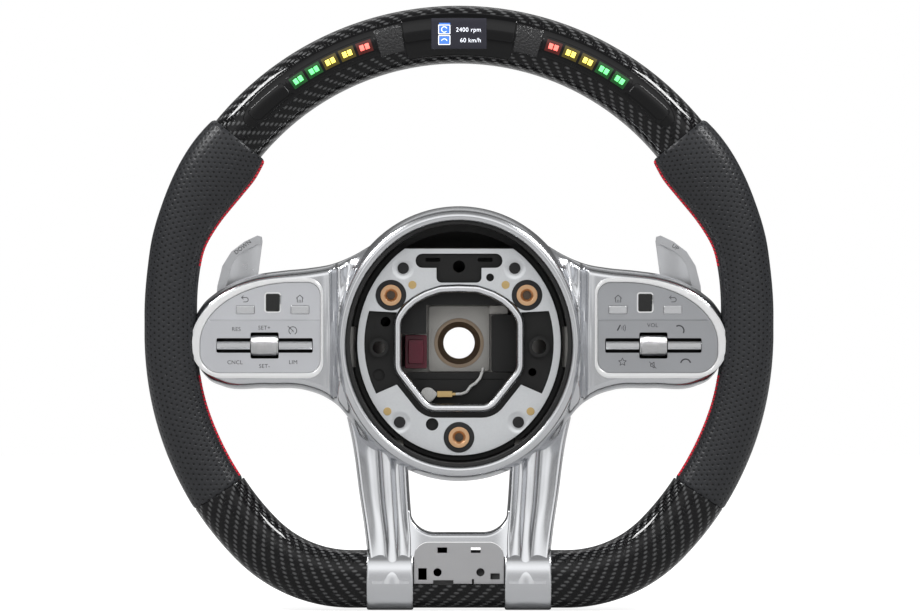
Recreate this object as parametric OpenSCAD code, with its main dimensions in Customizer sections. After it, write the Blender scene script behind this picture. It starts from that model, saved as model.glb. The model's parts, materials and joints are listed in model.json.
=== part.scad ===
// Flat-bottomed sports steering wheel for a car, without its airbag module.
// Drawn as the driver sees it: X to the right, Z up, and the front faces -Y.
// The origin is the middle of the column bore's plain land. Millimetres throughout.

/* [Rim] */
// Outer radius of the rim
rim_r = 185; // [180:0.5:192]
// Height of the upper rim arc's centre above the hub axis
rim_rise = 14; // [10:0.5:16]
// Length of the straight stretch at each side of the rim
rim_side = 10.7; // [6:0.1:14]
// Outer radius of the two lower corners
corner_r = 95.5; // [90:0.5:98]
// Distance from the column bore's middle forward to the rim's middle plane
rim_ahead = 62; // [60:0.5:66]
// Width of the carbon sections, seen from the front
carbon_w = 34; // [33:0.5:36]
// Depth of the carbon sections, front to back
carbon_d = 31; // [30:0.5:33]
// Width of the leather where the hand lies
grip_w = 31; // [30.6:0.1:32]
// Width of the leather at the thumb swelling
thumb_w = 42.3; // [38:0.1:44]
// Depth of the leather, front to back
grip_d = 32; // [31:0.5:34]
// Angle of the upper leather joint above the horizontal
top_joint = 39.3; // [37:0.1:41]
// Angle of the lower leather joint below the horizontal
low_joint = 33; // [31:0.5:35]
// Radius of the foam core
core_r = 10; // [9:0.5:10]
// Radius of the cast hoop in the foam core
hoop_r = 5; // [4:0.5:6]

/* [Display] */
// Angle left between the gloss strip's end and the leather joint
strip_margin = 3.7; // [2.5:0.1:6]
// Radial width of the gloss strip
strip_w = 16; // [14:0.5:18]
// Half angle of the wide middle housing
middle_half = 11; // [10:0.5:12]
// Width of the screen
screen_w = 32.4; // [28:0.2:34]
// Height of the screen
screen_h = 17.9; // [15:0.1:19]
// Number of shift lights on each side
lights = 5; // [4:1:5]

/* [Hub ring] */
// Half width of the hub ring's opening
ring_a = 66.4; // [65:0.1:68]
// Half height of the hub ring's opening
ring_b = 72.4; // [71:0.1:74]
// Width of the hub ring seen from the front
ring_w = 6; // [5:0.1:7]
// Distance from the bore's middle forward to the hub ring's crest
ring_ahead = 71.5; // [70:0.1:73]

/* [Arms and pods] */
// Distance from the hub axis to the outer tip of an arm
arm_tip = 158.6; // [158:0.1:158.9]
// Wall of the silver trims
trim_t = 2.5; // [2:0.1:3]
// Distance from the hub axis to the centre line of the rollers
roller_x = 114.2; // [113:0.1:115]
// Height of the rollers' axis below the hub axis
roller_drop = 1; // [0:0.1:2]
// Radius of a roller
roller_r = 7; // [6:0.1:7.2]
// Width of a roller
roller_w = 15.8; // [14:0.1:16.4]
// Width of a push button
button_w = 10.5; // [9:0.1:11.5]
// Height of a push button
button_h = 4.7; // [4:0.1:5.2]
// Width of a touch pad
pad_w = 7.8; // [7:0.1:9]
// Height of a touch pad
pad_h = 10.1; // [9:0.1:11]
// Height of a rocker bar
rocker_h = 4.6; // [4:0.1:5]

/* [Hub] */
// Radius of the column bore
bore_r = 9.4; // [8.5:0.1:9.8]
// Outer radius of the steel insert
insert_r = 14.9; // [13:0.1:16]
// Length of the bore's plain land
land_l = 12; // [8:0.5:14]
// Width of the cast boss
boss_w = 36.5; // [34:0.1:38]
// Radius of a guide bush
bush_r = 6.2; // [5.5:0.1:6.6]
// Radius of the hole in a guide bush
bush_hole_r = 2.5; // [2:0.1:3]
// Radius of the black sleeve round a guide bush
sleeve_r = 9; // [8:0.1:9.4]
// Thickness of the pressed horn plate
plate_t = 1.5; // [1.2:0.1:2]
// Travel of the horn plate
horn_travel = 1.2; // [0.8:0.1:1.4]

/* [Lower spokes] */
// Half width of the gap between the lower spokes
gap_half = 29; // [27.5:0.1:29.5]
// Half width of the badge plate
badge_half = 26.4; // [25:0.1:26.6]
// Spacing of the badge plate's screw holes
badge_pitch = 25.2; // [20:0.1:27]
// Radius of the badge plate's screw holes
badge_hole_r = 2.4; // [1.5:0.1:2.8]

/* [Paddles] */
// Distance from the hub axis to a paddle's hinge
hinge_x = 88; // [87:0.1:90]
// Radius of a hinge pin
pin_r = 1.5; // [1.2:0.1:1.8]
// Thickness of a paddle blade
blade_t = 5; // [4.5:0.1:5.4]

/* [Hidden] */
$fn = 64;
fit = 0.3;
pin_fit = 0.05;
far = 400;

low_z = rim_rise - rim_side;
corner_x = (rim_r - corner_r) * cos(45);
corner_z = low_z - (rim_r - corner_r) * sin(45);
floor_z = corner_z - corner_r;
core_in = 15.5;
joint_gap = 0.15;

cuff_t = 1.2;
cuff_in = 27.3;
cuff_out = 53.7;
cuff_mid = (cuff_in + cuff_out) / 2;
badge_top = floor_z + 38.9;
badge_low = floor_z + 14.6;
badge_y = -rim_ahead - 11.5;

strip_half = 90 - top_joint - strip_margin;
strip_mid = rim_r - 15;
strip_deep = 5;
middle_in = 29.6;
middle_out = 4.8;

edge_y = -57;
plate_y = -46;
carrier_y = plate_y + plate_t + horn_travel + 0.4;
liner_back = -40;
insert_front = -10;
insert_back = 16;

pod_plate_back = -68.2;
pod_floor = -57;
roller_y = -65.5;
roller_z = -roller_drop;
slot_half = 28.3;
slot_h = 8.6;

bushes = [[-40.3, 28.6], [40.3, 28.6], [0, -55.6]];
bush_back = -36;
shelf_y = -34.2;
rivets = [[-27.6, 34.7], [27.6, 34.7], [-42.4, -40.2], [42.4, -40.2]];
buffers = [[-33, 44.6], [33, 44.6], [-35.1, -46.6], [35.1, -46.6]];

silver = [0.72, 0.73, 0.75];
zinc = [0.75, 0.77, 0.79];
cast = [0.62, 0.61, 0.6];
cover = [0.12, 0.12, 0.13];
black = [0.05, 0.05, 0.055];

// General helpers

// Extrudes an outline drawn in X and Z from depth y0, in front, back to depth y1
module slab(y0, y1) {
    translate([0, y1, 0]) rotate([90, 0, 0]) linear_extrude(y1 - y0) children();
}

// A round peg along Y at x, z from depth y0 back to depth y1
module peg(x, z, r, y0, y1) {
    translate([x, y1, z]) rotate([90, 0, 0]) cylinder(r = r, h = y1 - y0);
}

// A profile drawn in Y and Z, extruded along X from x0 to x1
module bar(x0, x1) {
    translate([x0, 0, 0]) rotate([90, 0, 90]) linear_extrude(x1 - x0) children();
}

// The child and its mirror image across the wheel's middle plane
module pair() {
    children();
    mirror([1, 0, 0]) children();
}

// The child as drawn on the right, or mirrored for the left
module side(s) {
    if (s > 0) children();
    else mirror([1, 0, 0]) children();
}

// A rectangle about the origin with corners of radius r
module rounded(w, h, r) {
    polygon([for (q = [[1, 1, 0], [-1, 1, 90], [-1, -1, 180], [1, -1, 270]])
        each arc_pts([q[0] * (w / 2 - r), q[1] * (h / 2 - r)], r, r, q[2], q[2] + 90, 4)]);
}

// Points of an arc about c from angle a0 to a1 in n steps, with radii rx and rz
function arc_pts(c, rx, rz, a0, a1, n) =
    [for (i = [0:n]) let (a = a0 + (a1 - a0) * i / n) [c[0] + rx * cos(a), c[1] + rz * sin(a)]];

// A full superellipse section of width w and depth d that hangs inward from the outer edge
function section_pts(w, d, n = 36, grow = 0) = [for (i = [0:n - 1])
    let (a = 360 * i / n, c = cos(a), s = sin(a))
    [-w / 2 + (w / 2 + grow) * sign(c) * pow(abs(c), 0.86),
     (d / 2 + grow) * sign(s) * pow(abs(s), 0.86)]];

// A closed wall between two matching grids of points, each a list of rows. With round
// set, each row closes on itself and the wall is a pipe
module wall(outer, inner, round = false) {
    rows = len(outer);
    cols = len(outer[0]);
    n = rows * cols;
    last = cols - (round ? 1 : 2);
    pts = concat([for (r = outer) for (p = r) p], [for (r = inner) for (p = r) p]);
    skin = [for (i = [0:rows - 2]) for (j = [0:last])
        let (a = i * cols + j, b = i * cols + (j + 1) % cols)
        each [[a, a + cols, b], [b, a + cols, b + cols]]];
    lining = [for (f = skin) [f[0] + n, f[2] + n, f[1] + n]];
    ends = [for (j = [0:last]) let (k = (j + 1) % cols, b = (rows - 1) * cols)
        each [[j, k, j + n], [k, k + n, j + n],
              [b + j, b + j + n, b + k], [b + k, b + j + n, b + k + n]]];
    sides = [if (!round) for (i = [0:rows - 2]) let (a = i * cols, b = a + cols - 1)
        each [[a, a + n, a + cols], [a + cols, a + n, a + cols + n],
              [b, b + cols, b + n], [b + cols, b + cols + n, b + n]]];
    polyhedron(pts, concat(skin, lining, ends, sides), convexity = 6);
}

// A closed solid through a list of closed rings, with a centre point in each end cap
module loft(rings) {
    m = len(rings);
    n = len(rings[0]);
    mid = function (r) [for (k = [0:2]) let (s = [for (p = r) p[k]]) s * [for (p = s) 1] / len(s)];
    pts = concat([for (r = rings) for (p = r) p], [mid(rings[0]), mid(rings[m - 1])]);
    skin = [for (i = [0:m - 2]) for (j = [0:n - 1]) let (a = i * n + j, b = i * n + (j + 1) % n)
        each [[a, a + n, b], [b, a + n, b + n]]];
    first = [for (j = [0:n - 1]) [m * n, j, (j + 1) % n]];
    last = [for (j = [0:n - 1]) [m * n + 1, (m - 1) * n + (j + 1) % n, (m - 1) * n + j]];
    polyhedron(pts, concat(skin, first, last), convexity = 6);
}

// Rim path. A child section has x = 0 at the rim's outer edge and y forward

module rim_arc(from, to, z) {
    translate([0, -rim_ahead, z]) rotate([90, 0, 0]) rotate([0, 0, from])
        rotate_extrude(angle = to - from, $fn = 180) translate([rim_r, 0]) children();
}

module rim_straight() {
    translate([0, -rim_ahead, low_z]) mirror([0, 1, 0]) linear_extrude(rim_side)
        translate([rim_r, 0]) children();
}

module rim_corner(from = -90, to = -45) {
    translate([corner_x, -rim_ahead, corner_z]) rotate([90, 0, 0]) rotate([0, 0, from])
        rotate_extrude(angle = to - from, $fn = 120) translate([corner_r, 0]) children();
}

module rim_floor(x0, x1) {
    translate([x0, -rim_ahead, corner_z]) mirror([0, 1, 0]) rotate([0, 90, 0])
        linear_extrude(x1 - x0) translate([corner_r, 0]) children();
}

module rim_loop() {
    rim_arc(0, 180, rim_rise) children();
    pair() {
        rim_straight() children();
        rim_arc(-45, 0, low_z) children();
        rim_corner() children();
    }
    rim_floor(-corner_x, corner_x) children();
}

module carbon_section() {
    polygon(section_pts(carbon_w, carbon_d));
}

module core_section(r = core_r) {
    translate([-core_in, 0]) circle(r = r);
}

// Inside of every rim skin: the foam core fills it
module core_space() {
    rim_loop() core_section();
}

module rim_core() {
    color("dimgray") difference() {
        core_space();
        rim_loop() core_section(hoop_r);
        pair() side_spoke(fit);
        pair() low_spoke(fit);
    }
}

module carbon_top() {
    color([0.1, 0.1, 0.11]) difference() {
        rim_arc(top_joint + joint_gap, 180 - top_joint - joint_gap, rim_rise) carbon_section();
        rim_arc(top_joint, 180 - top_joint, rim_rise) core_section();
        strip_space(fit);
    }
}

module carbon_lower(s) {
    color([0.1, 0.1, 0.11]) side(s) difference() {
        union() {
            rim_arc(-45, -low_joint - joint_gap, low_z) carbon_section();
            rim_corner() carbon_section();
            rim_floor(cuff_mid, corner_x) carbon_section();
        }
        rim_arc(-45, -low_joint + 1, low_z) core_section();
        rim_corner() core_section();
        rim_floor(cuff_mid - 1, corner_x) core_section();
        low_spoke(fit);
    }
}

module carbon_bottom() {
    color([0.1, 0.1, 0.11]) difference() {
        rim_floor(-cuff_mid, cuff_mid) carbon_section();
        rim_floor(-cuff_mid - 1, cuff_mid + 1) core_section();
        slab(-far, -rim_ahead - 2) translate([-cuff_in, badge_low - fit]) square([2 * cuff_in, 40]);
        pair() low_spoke(fit);
    }
}

// Leather grips. The section swells at the thumb and leans outward there

function grip_width(a) = lookup(a, [[-33, 33.6], [-22, grip_w + 1.4], [-14, grip_w + 0.4],
    [0, grip_w], [12, grip_w], [16, grip_w + 1], [20, grip_w + 3.4], [23, grip_w + 5.6],
    [26, thumb_w - 3.3], [30, thumb_w - 0.8], [35, thumb_w], [38, thumb_w - 2], [41, 37]]);
function grip_out(a) = lookup(a, [[-33, 0.3], [-20, 0], [0, 0.2], [10, 1], [15, 2.1],
    [20, 2.6], [36, 2.9], [41, 1]]);
function grip_depth(a) = grip_d + lookup(a, [[0, 0], [20, 1], [35, 3], [41, 0.5]]);

grip_facets = 20;

function hole_ring(a, zc) = let (r = (core_r + 0.2) / cos(180 / grip_facets))
    [for (i = [0:grip_facets - 1]) let (t = 360 * i / grip_facets,
        out = rim_r - core_in + r * cos(t))
        [out * cos(a), -rim_ahead - r * sin(t), zc + out * sin(a)]];

function grip_ring(a, zc) = let (w = grip_width(a), out = rim_r + grip_out(a))
    [for (p = section_pts(w, grip_depth(a), grip_facets))
        [(out + p[0]) * cos(a), -rim_ahead - p[1], zc + (out + p[0]) * sin(a)]];

module leather(s) {
    stations = concat(
        [for (i = [0:13]) [(top_joint - joint_gap) * (1 - i / 13), rim_rise]],
        [for (i = [0:9]) [-i * (low_joint - joint_gap) / 9, low_z]]);
    color([0.16, 0.16, 0.17]) side(s) difference() {
        wall([for (q = stations) grip_ring(q[0], q[1])],
             [for (q = stations) hole_ring(q[0], q[1])], round = true);
        slab(-far, rear_y + fit) polygon(arm_outline(fit));
        side_spoke(fit);
    }
}

// Display strip set in the top of the rim

module strip_region(g) {
    rim_arc(90 - strip_half, 90 + strip_half, rim_rise)
        translate([strip_mid - rim_r - strip_w / 2 - g, carbon_d / 2 - strip_deep - g])
            square([strip_w + 2 * g, 20]);
    rim_arc(90 - middle_half, 90 + middle_half, rim_rise)
        translate([-middle_in - g, carbon_d / 2 - strip_deep - g])
            square([middle_in - middle_out + 2 * g, 20]);
}

module strip_space(g) {
    strip_region(g / 3);
}

module display_housing() {
    color(black) difference() {
        intersection() {
            rim_arc(90 - strip_half - 1, 90 + strip_half + 1, rim_rise)
                polygon(section_pts(carbon_w, carbon_d, 36, 0.25));
            strip_region(0);
        }
        slab(-far, screen_y + 1.2) translate([0, screen_z]) rounded(screen_w, screen_h, 0.8);
        for (m = [-1, 1]) {
            panel_space(m, 1.2);
            lens_space(m, 1.6);
            key_space(m, 1.2);
        }
    }
}

screen_y = -rim_ahead - carbon_d / 2 - 0.05;
screen_z = rim_rise + rim_r - 17.2;
panel_at = [middle_half + 0.6, middle_half + 5.4];
key_at = [strip_half - 10.6, strip_half - 0.6];
lens_at = [panel_at[1] + 0.8, key_at[0] - 0.4];
light_first = lens_at[0] + 1.9;
light_step = (lens_at[1] - lens_at[0] - 4.08) / (lights - 1);

// A slice of the strip between two angles from the top, cut down by depth from its face
module strip_slice(m, at, half, depth, face = 3) {
    a = [90 - m * at[0], 90 - m * at[1]];
    rim_arc(min(a), max(a), rim_rise) translate([strip_mid - rim_r - half, carbon_d / 2 - depth])
        square([2 * half, depth + face]);
}

module panel_space(m, depth) {
    strip_slice(m, panel_at, 6, depth);
}

module lens_space(m, depth) {
    strip_slice(m, lens_at, 5, depth);
}

module key_space(m, depth) {
    strip_slice(m, key_at, 5, depth);
}

// Keeps what lies under the rim's face, stood proud by g
module under_face(g) {
    intersection() {
        rim_arc(90 - strip_half, 90 + strip_half, rim_rise)
            polygon(section_pts(carbon_w, carbon_d, 36, g));
        children();
    }
}

module display_screen() {
    color([0.02, 0.02, 0.03]) slab(screen_y - 0.1, screen_y + 1.2)
        translate([0, screen_z]) rounded(screen_w - 0.1, screen_h - 0.1, 0.75);
}

module touch_panels() {
    color(black) for (m = [-1, 1]) under_face(0.3) strip_slice(m, panel_at + [0.05, -0.05], 5.9, 1.2);
}

module light_lenses() {
    color([0.1, 0.1, 0.1, 0.6]) for (m = [-1, 1])
        under_face(0.2) strip_slice(m, lens_at + [0.05, -0.05], 4.9, 0.7);
}

module light_chips() {
    color("white") for (m = [-1, 1]) for (i = [0:lights - 1]) for (k = [-1, 1]) {
        a = light_first + i * light_step + k * 0.55;
        strip_slice(m, [a - 0.42, a + 0.42], 1.5, 1.6, -0.7);
    }
}

module end_keys() {
    color(black) for (m = [-1, 1]) under_face(0.3) strip_slice(m, key_at + [0.05, -0.05], 4.9, 1.2);
}

// Hub oval: four tangent arcs, wider than the opening by g

oval_c = (ring_b - ring_a) / (2 - sqrt(2));
oval_side_r = ring_a + oval_c;
oval_end_r = ring_b - oval_c;

function oval_pts(g, n = 24) = concat(
    arc_pts([-oval_c, 0], oval_side_r + g, oval_side_r + g, -45, 45, n),
    arc_pts([0, oval_c], oval_end_r + g, oval_end_r + g, 45, 135, n),
    arc_pts([oval_c, 0], oval_side_r + g, oval_side_r + g, 135, 225, n),
    arc_pts([0, -oval_c], oval_end_r + g, oval_end_r + g, 225, 315, n));

// Sweeps a section round the hub oval. x is outward from the opening's edge, y is forward
module oval_sweep() {
    for (q = [[-45, -oval_c, 0, oval_side_r], [45, 0, oval_c, oval_end_r],
              [135, oval_c, 0, oval_side_r], [225, 0, -oval_c, oval_end_r]])
        translate([q[1], 0, q[2]]) rotate([90, 0, 0]) rotate([0, 0, q[0]])
            rotate_extrude(angle = 90, $fn = 144) translate([q[3], 0]) children();
}

// Outline of an arm of the upper trim, with the pod at its outer end

arm_top = [[40, 64], [50.6, 58.8], [61.2, 52.6], [74, 47.2], [88, 44.6], [104, 43], [119.6, 40.6],
    [133, 36], [144, 29.5], [151, 23], [155.5, 15.5], [157.8, 9], [arm_tip, 3]];
arm_low = [[40, -66], [52, -62], [59, -55.5], [64.5, -45], [70, -38], [79, -31.5], [91, -27.3],
    [113, -26.3], [139.5, -25], [148, -20.6], [153, -14], [156.5, -6.5], [arm_tip, 0]];
function arm_hi(x) = lookup(x, arm_top);
function arm_lo(x) = lookup(x, arm_low);
function arm_outline(g) = concat([for (p = arm_low) p + [p[0] > 145 ? g : 0, -g]],
    [for (i = [len(arm_top) - 1:-1:0]) arm_top[i] + [arm_top[i][0] > 145 ? g : 0, g]]);

arm_stations = [42, 50.6, 56, 61.2, 66, 70, 74, 79, 81, 84, 91, 104, 113, 119.6, 133, 139.5, 144, 148, 151,
    153, 155.5, 157.2, arm_tip];
rear_y = -48.5;

// Depth of the arm's face along X, with two flutes between the ring and the pod
function arm_face(x) = lookup(x, [[56, -60], [61, -61], [66, -62.5], [70, -66.5], [72.5, -64.5],
    [75.5, -67.5], [79, -68.5], [84, -69.5], [144, -69.8], [153, -69], [arm_tip, -66]]);
function arm_back(x) = lookup(x, [[56, -33], [66, -40], [74, -45.5], [81, rear_y],
    [150, rear_y], [arm_tip, rear_y - 3]]);

// Section across an arm at x: the edge at depth e, the face at depth f, inset by t
function arm_section(x, e, f, t) =
    let (hi = arm_hi(x) - min(t, (arm_hi(x) - arm_lo(x)) / 4),
         lo = arm_lo(x) + min(t, (arm_hi(x) - arm_lo(x)) / 4),
         k = f < e ? 1 : -1, g = f + k * t, b = min(5, (hi - lo) / 3, abs(e - g)))
    [for (p = [[lo, e], [lo, g + k * b * 0.8], [lo + b * 0.25, g + k * b * 0.25], [lo + b, g],
               [hi - b, g], [hi - b * 0.25, g + k * b * 0.25], [hi, g + k * b * 0.8], [hi, e]])
        [x, p[1], p[0]]];

module arm_front() {
    inward = [for (i = [len(arm_stations) - 1:-1:0]) arm_stations[i]];
    wall([for (x = inward) arm_section(x, edge_y, arm_face(x), 0)],
         [for (x = inward) arm_section(x, edge_y, arm_face(x), trim_t)]);
}

module arm_rear() {
    behind = [for (x = arm_stations) if (x >= 56) x];
    wall([for (x = behind) arm_section(x, edge_y, arm_back(x), 0)],
         [for (x = behind) arm_section(x, edge_y, arm_back(x), trim_t)]);
}

module hub_ring() {
    crest = ring_ahead;
    color(silver) difference() {
        oval_sweep() polygon([[0, crest - 9.5], [0, crest - 1.6], [0.8, crest - 0.5], [1.8, crest],
            [ring_w - 2.4, crest], [ring_w - 1.2, crest - 0.6], [ring_w - 0.3, crest - 2],
            [ring_w, crest - 4], [ring_w + 0.9, crest - 9], [ring_w + 0.9, -edge_y],
            [ring_w - 1.6, -edge_y], [ring_w - 1.6, crest - 9.5]]);
        slab(-far, -ring_ahead + 2.2) translate([-6.5, ring_b - 3]) square([13, 3.8]);
        slab(-far, -ring_ahead + 2.2) translate([-5.5, -ring_b - 0.8]) square([11, 3.8]);
    }
}

module arm_trim(s) {
    color(silver) side(s) difference() {
        arm_front();
        slab(-far, 0) polygon(oval_pts(ring_w + 0.9));
        slab(-far, 0) polygon(pod_pts(bezel_form, fit));
        side_spoke(fit);
    }
}

// Silver trim of the two lower spokes with cuffs that wrap the rim

// Height at a share t of the way from the hub ring's foot down to the rim's floor
function down(t) = -ring_b + t * (floor_z + ring_b);

spoke_out = [[down(0.934), 53.4], [down(0.711), 53.6], [down(0.453), 55.6], [down(0.208), 58.6],
    [-56.7, 63.2], [-44, 66]];
spoke_in = [[down(0.934), badge_half + fit], [down(0.477), badge_half + fit],
    [down(0.332), badge_half + 1.2], [down(0.208), gap_half], [down(0.02), gap_half + 1],
    [-44, gap_half + 2]];
function spoke_face(z) = lookup(z, [[down(0.934), -79], [down(0.765), -78.4], [down(0.669), -76],
    [down(0.525), -72.5], [down(0.332), -69], [down(0.091), -65], [-60, -61.5], [-44, -60]]);
spoke_stations = concat([-43, -52, -60, -68], [for (t = [0.043, 0.14, 0.236, 0.332, 0.428, 0.525,
    0.597, 0.669, 0.741, 0.802]) down(t)]);

// Section across a lower spoke at z: a raised rib between two hollow flutes
function spoke_section(z, t) =
    let (o = lookup(z, spoke_out) - t, i = lookup(z, spoke_in) + t, f = spoke_face(z) + t,
         flute = lookup(z, [[down(0.8), 0.2], [down(0.67), 1.2], [down(0.33), 3.4]]),
         ro = lookup(z, [[down(0.8), 41.5], [-50, 44.2]]),
         ri = lookup(z, [[down(0.8), 36.5], [-50, 39.6]]))
    [for (p = [[o, spoke_edge(z)], [o, f + 3.4], [o - 1.6, f + 1], [o - 5, f + flute * 0.8],
               [(o + ro) / 2, f + flute], [ro + 1, f + flute * 0.4], [ro - 0.4, f - 0.4],
               [ri + 0.4, f - 0.4], [ri - 1, f + flute * 0.4], [(i + ri) / 2 , f + flute],
               [i + 1.6, f + 1], [i, f + 3.4], [i, spoke_edge(z)]])
        [p[0], p[1], z]];
function spoke_edge(z) = lookup(z, [[down(0.802), -rim_ahead], [down(0.332), edge_y], [-60, -54],
    [-44, -53]]);

module spoke_front() {
    wall([for (z = spoke_stations) spoke_section(z, 0)],
         [for (z = spoke_stations) spoke_section(z, trim_t)]);
}

gap_r = 14.7;

module trim_lower() {
    color(silver) difference() {
        union() {
            pair() spoke_front();
            pair() rim_floor(cuff_in, cuff_out)
                polygon(section_pts(carbon_w, carbon_d, 36, cuff_t));
            slab(badge_y + 0.9, badge_y + 3.9) difference() {
                translate([-gap_half - 2, badge_top - 0.2]) square([2 * gap_half + 4, 18]);
                translate([-gap_half, badge_top + 5.9]) offset(r = gap_r)
                    translate([gap_r, gap_r]) square([2 * (gap_half - gap_r), 40]);
            }
        }
        rim_floor(-far, far) polygon(section_pts(carbon_w, carbon_d, 36, 0.02));
        slab(-far, badge_y + 2) badge_outline(fit);
        slab(-far, 0) polygon(oval_pts(ring_w + 1.1));
        pair() slab(-far, 0) polygon(arm_outline(0.2));
        pair() low_spoke(fit);
    }
}

module badge_outline(g) {
    hull() {
        for (m = [-1, 1]) translate([m * (badge_half - 8.8), badge_top - 8.8]) circle(r = 8.8 + g);
        translate([-badge_half - g, badge_low]) square([2 * (badge_half + g), 4]);
    }
}

module badge_plate() {
    color([0.6, 0.61, 0.63]) difference() {
        slab(badge_y, badge_y + 1.5) badge_outline(0);
        slab(-far, 0) {
            for (m = [-1, 1]) translate([m * 9.8, badge_top - 4.5]) square([5.7, 3.2], center = true);
            translate([-21.4, badge_low + 5.8]) square([4.9, 6.8], center = true);
            translate([21.2, badge_low + 4.4]) square([5.4, 3.5], center = true);
            translate([-9.2, badge_low + 0.6]) square([11.8, 3], center = true);
            translate([8.2, badge_low + 0.8]) square([1.2, 4], center = true);
        }
        for (m = [-1, 1]) peg(m * badge_pitch / 2, badge_low + 6.8, badge_hole_r, -far, 0);
    }
}

// Back covers

// Outside of the dish behind the hub, as distance out from the hub's oval and depth
dish_out = [[ring_w + 0.9, edge_y], [ring_w + 0.6, -48], [3, -36], [-5, -20], [-14, -8], [-23, 0],
    [-32, 3.5]];

module rear_cover() {
    color(cover) difference() {
        oval_sweep() polygon(concat(dish_out, [[-52, 3.5], [-52, 1], [-31, 1], [-22, -2.4],
            [-15.6, -9.4], [-7.4, -21], [0.7, -37], [3.8, -48], [ring_w - 1.6, edge_y]])
            * [[1, 0], [0, -1]]);
        pair() side_spoke(fit * 2);
        pair() low_spoke(fit * 2);
        slab(-20, 20) boss_outline(fit);
        screw_places() peg(0, 0, screw_r + pin_fit, -20, 20);
    }
}

// All that lies within the dish's outside
module dish_space() {
    oval_sweep() polygon(concat([[-60, edge_y - 9], [ring_w + 0.9, edge_y - 9]], dish_out,
        [[-60, 3.5]]) * [[1, 0], [0, -1]]);
}

module arm_cover(s) {
    color(cover) side(s) difference() {
        arm_rear();
        dish_space();
        side_spoke(fit * 2);
    }
}

module lower_cover() {
    rows = [for (i = [len(spoke_stations) - 4:-1:1]) spoke_stations[i]];
    color(cover) difference() {
        pair() wall([for (z = rows) cover_section(z, 0)], [for (z = rows) cover_section(z, trim_t)]);
        dish_space();
        pair() slab(-far, far) polygon(arm_outline(0.3));
        rim_floor(-far, far) polygon(section_pts(carbon_w, carbon_d, 36, cuff_t + 0.1));
        pair() low_spoke(fit * 2);
    }
}

function cover_section(z, t) =
    let (o = lookup(z, spoke_out) - t, i = lookup(z, spoke_in) + t, e = spoke_edge(z),
         b = lookup(z, [[down(0.6), -49], [down(0.33), -47], [down(0.04), -40], [-60, -36]]) - t)
    [for (p = [[o, e], [o, b - 4], [o - 1.4, b - 1.2], [o - 5, b],
               [i + 5, b], [i + 1.4, b - 1.2], [i, b - 4], [i, e]]) [p[0], p[1], z]];

// Cast skeleton: hub boss, four spokes and the hoop inside the rim

side_path = [[14, -4], [30, -12], [56, -34], [66, -46], [76, -53], [84, -54], [rim_r - 35, -54],
    [rim_r - 22, -60], [rim_r - core_in, -rim_ahead]];
low_path = [[-12, -6.6], [-20, -7.6], [-28, -11.4], [-36, -16.6], [-44, -23.6], [-50, -30.6],
    [-56, -38.6], [-62, -46.5], [-68, -51], [down(0.14), -54], [down(0.38), -58.4],
    [down(0.669), -61], [floor_z + core_in, -rim_ahead]];
spoke_z = [-14, 10];
boss_rise = 2.6;
disc_r = 41;
disc_front = -10;
// Distance from the axis to the flats of the disc, where the ribs stand
flat_r = disc_r - 0.5;
rib_w = 8;
spoke_x = [33, 41];

function thick_path(path, t) = concat([for (p = path) p + [0, -t]],
    [for (i = [len(path) - 1:-1:0]) path[i] + [0, t]]);

module side_spoke(g = 0) {
    translate([0, 0, spoke_z[0] - g]) linear_extrude(spoke_z[1] - spoke_z[0] + 2 * g)
        polygon(thick_path(side_path, 2.6 + g));
}

module low_spoke(g = 0) {
    bar(spoke_x[0] - g, spoke_x[1] + g) polygon([for (p = thick_path(low_path, 2.8 + g)) [p[1], p[0]]]);
}

module boss_outline(g) {
    translate([0, boss_rise]) rounded(boss_w + 2 * g, boss_w + boss_rise + 2 * g, 2);
}

// A rib from the disc out to the guide bush at b, rising forward as it goes
module bush_rib(b) {
    far_end = norm(b);
    rotate([0, -atan2(b[1], b[0]), 0]) translate([0, 0, -rib_w / 2]) linear_extrude(rib_w)
        difference() {
            polygon(thick_path([[disc_r - 7, -8], [far_end - 11, -8], [far_end - 5, -18],
                [far_end, -23]], 3));
            translate([0, disc_front]) square([flat_r, 20]);
        }
}

module disc_outline() {
    difference() {
        circle(r = disc_r);
        for (b = bushes) rotate(atan2(b[1], b[0])) translate([flat_r, -rib_w])
            square([rib_w, 2 * rib_w]);
    }
}

module bush_post(b) {
    peg(b[0], b[1], 5, bush_back, -21);
}

// A small ledge on the boss, up and right of the bore
module boss_lug() {
    slab(-24, disc_front) translate([18, 17.4]) square([11, 5]);
}

module armature() {
    color(cast) difference() {
        union() {
            slab(-13, 10) boss_outline(0);
            slab(disc_front, disc_front + 6) disc_outline();
            boss_lug();
        }
        peg(0, 0, insert_r, -20, 20);
        screw_places() peg(0, 0, screw_r + pin_fit, -20, 20);
    }
}

// All that the boss and its disc take up
module boss_space() {
    slab(-13, 10) boss_outline(0);
    slab(disc_front, 4) circle(r = disc_r);
}

module bush_ribs() {
    color(cast) for (b = bushes) difference() {
        bush_rib(b);
        bush_post(b);
        boss_lug();
    }
}

module bush_posts() {
    color(cast) for (b = bushes) difference() {
        bush_post(b);
        peg(b[0], b[1], bush_hole_r + 0.5, bush_back - 4, -28);
    }
}

module side_arm(s) {
    color(cast) side(s) difference() {
        side_spoke();
        boss_space();
        rim_loop() core_section(hoop_r);
    }
}

module low_arm(s) {
    color(cast) side(s) difference() {
        low_spoke();
        boss_space();
        rim_loop() core_section(hoop_r);
    }
}

module rim_hoop() {
    color(cast) rim_loop() core_section(hoop_r);
}

screw_r = 1.8;
module_foot = [31, 13.3];
module screw_places() {
    for (a = [45:90:315]) translate([33 * cos(a), 0, 33 * sin(a)]) children();
}

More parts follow.
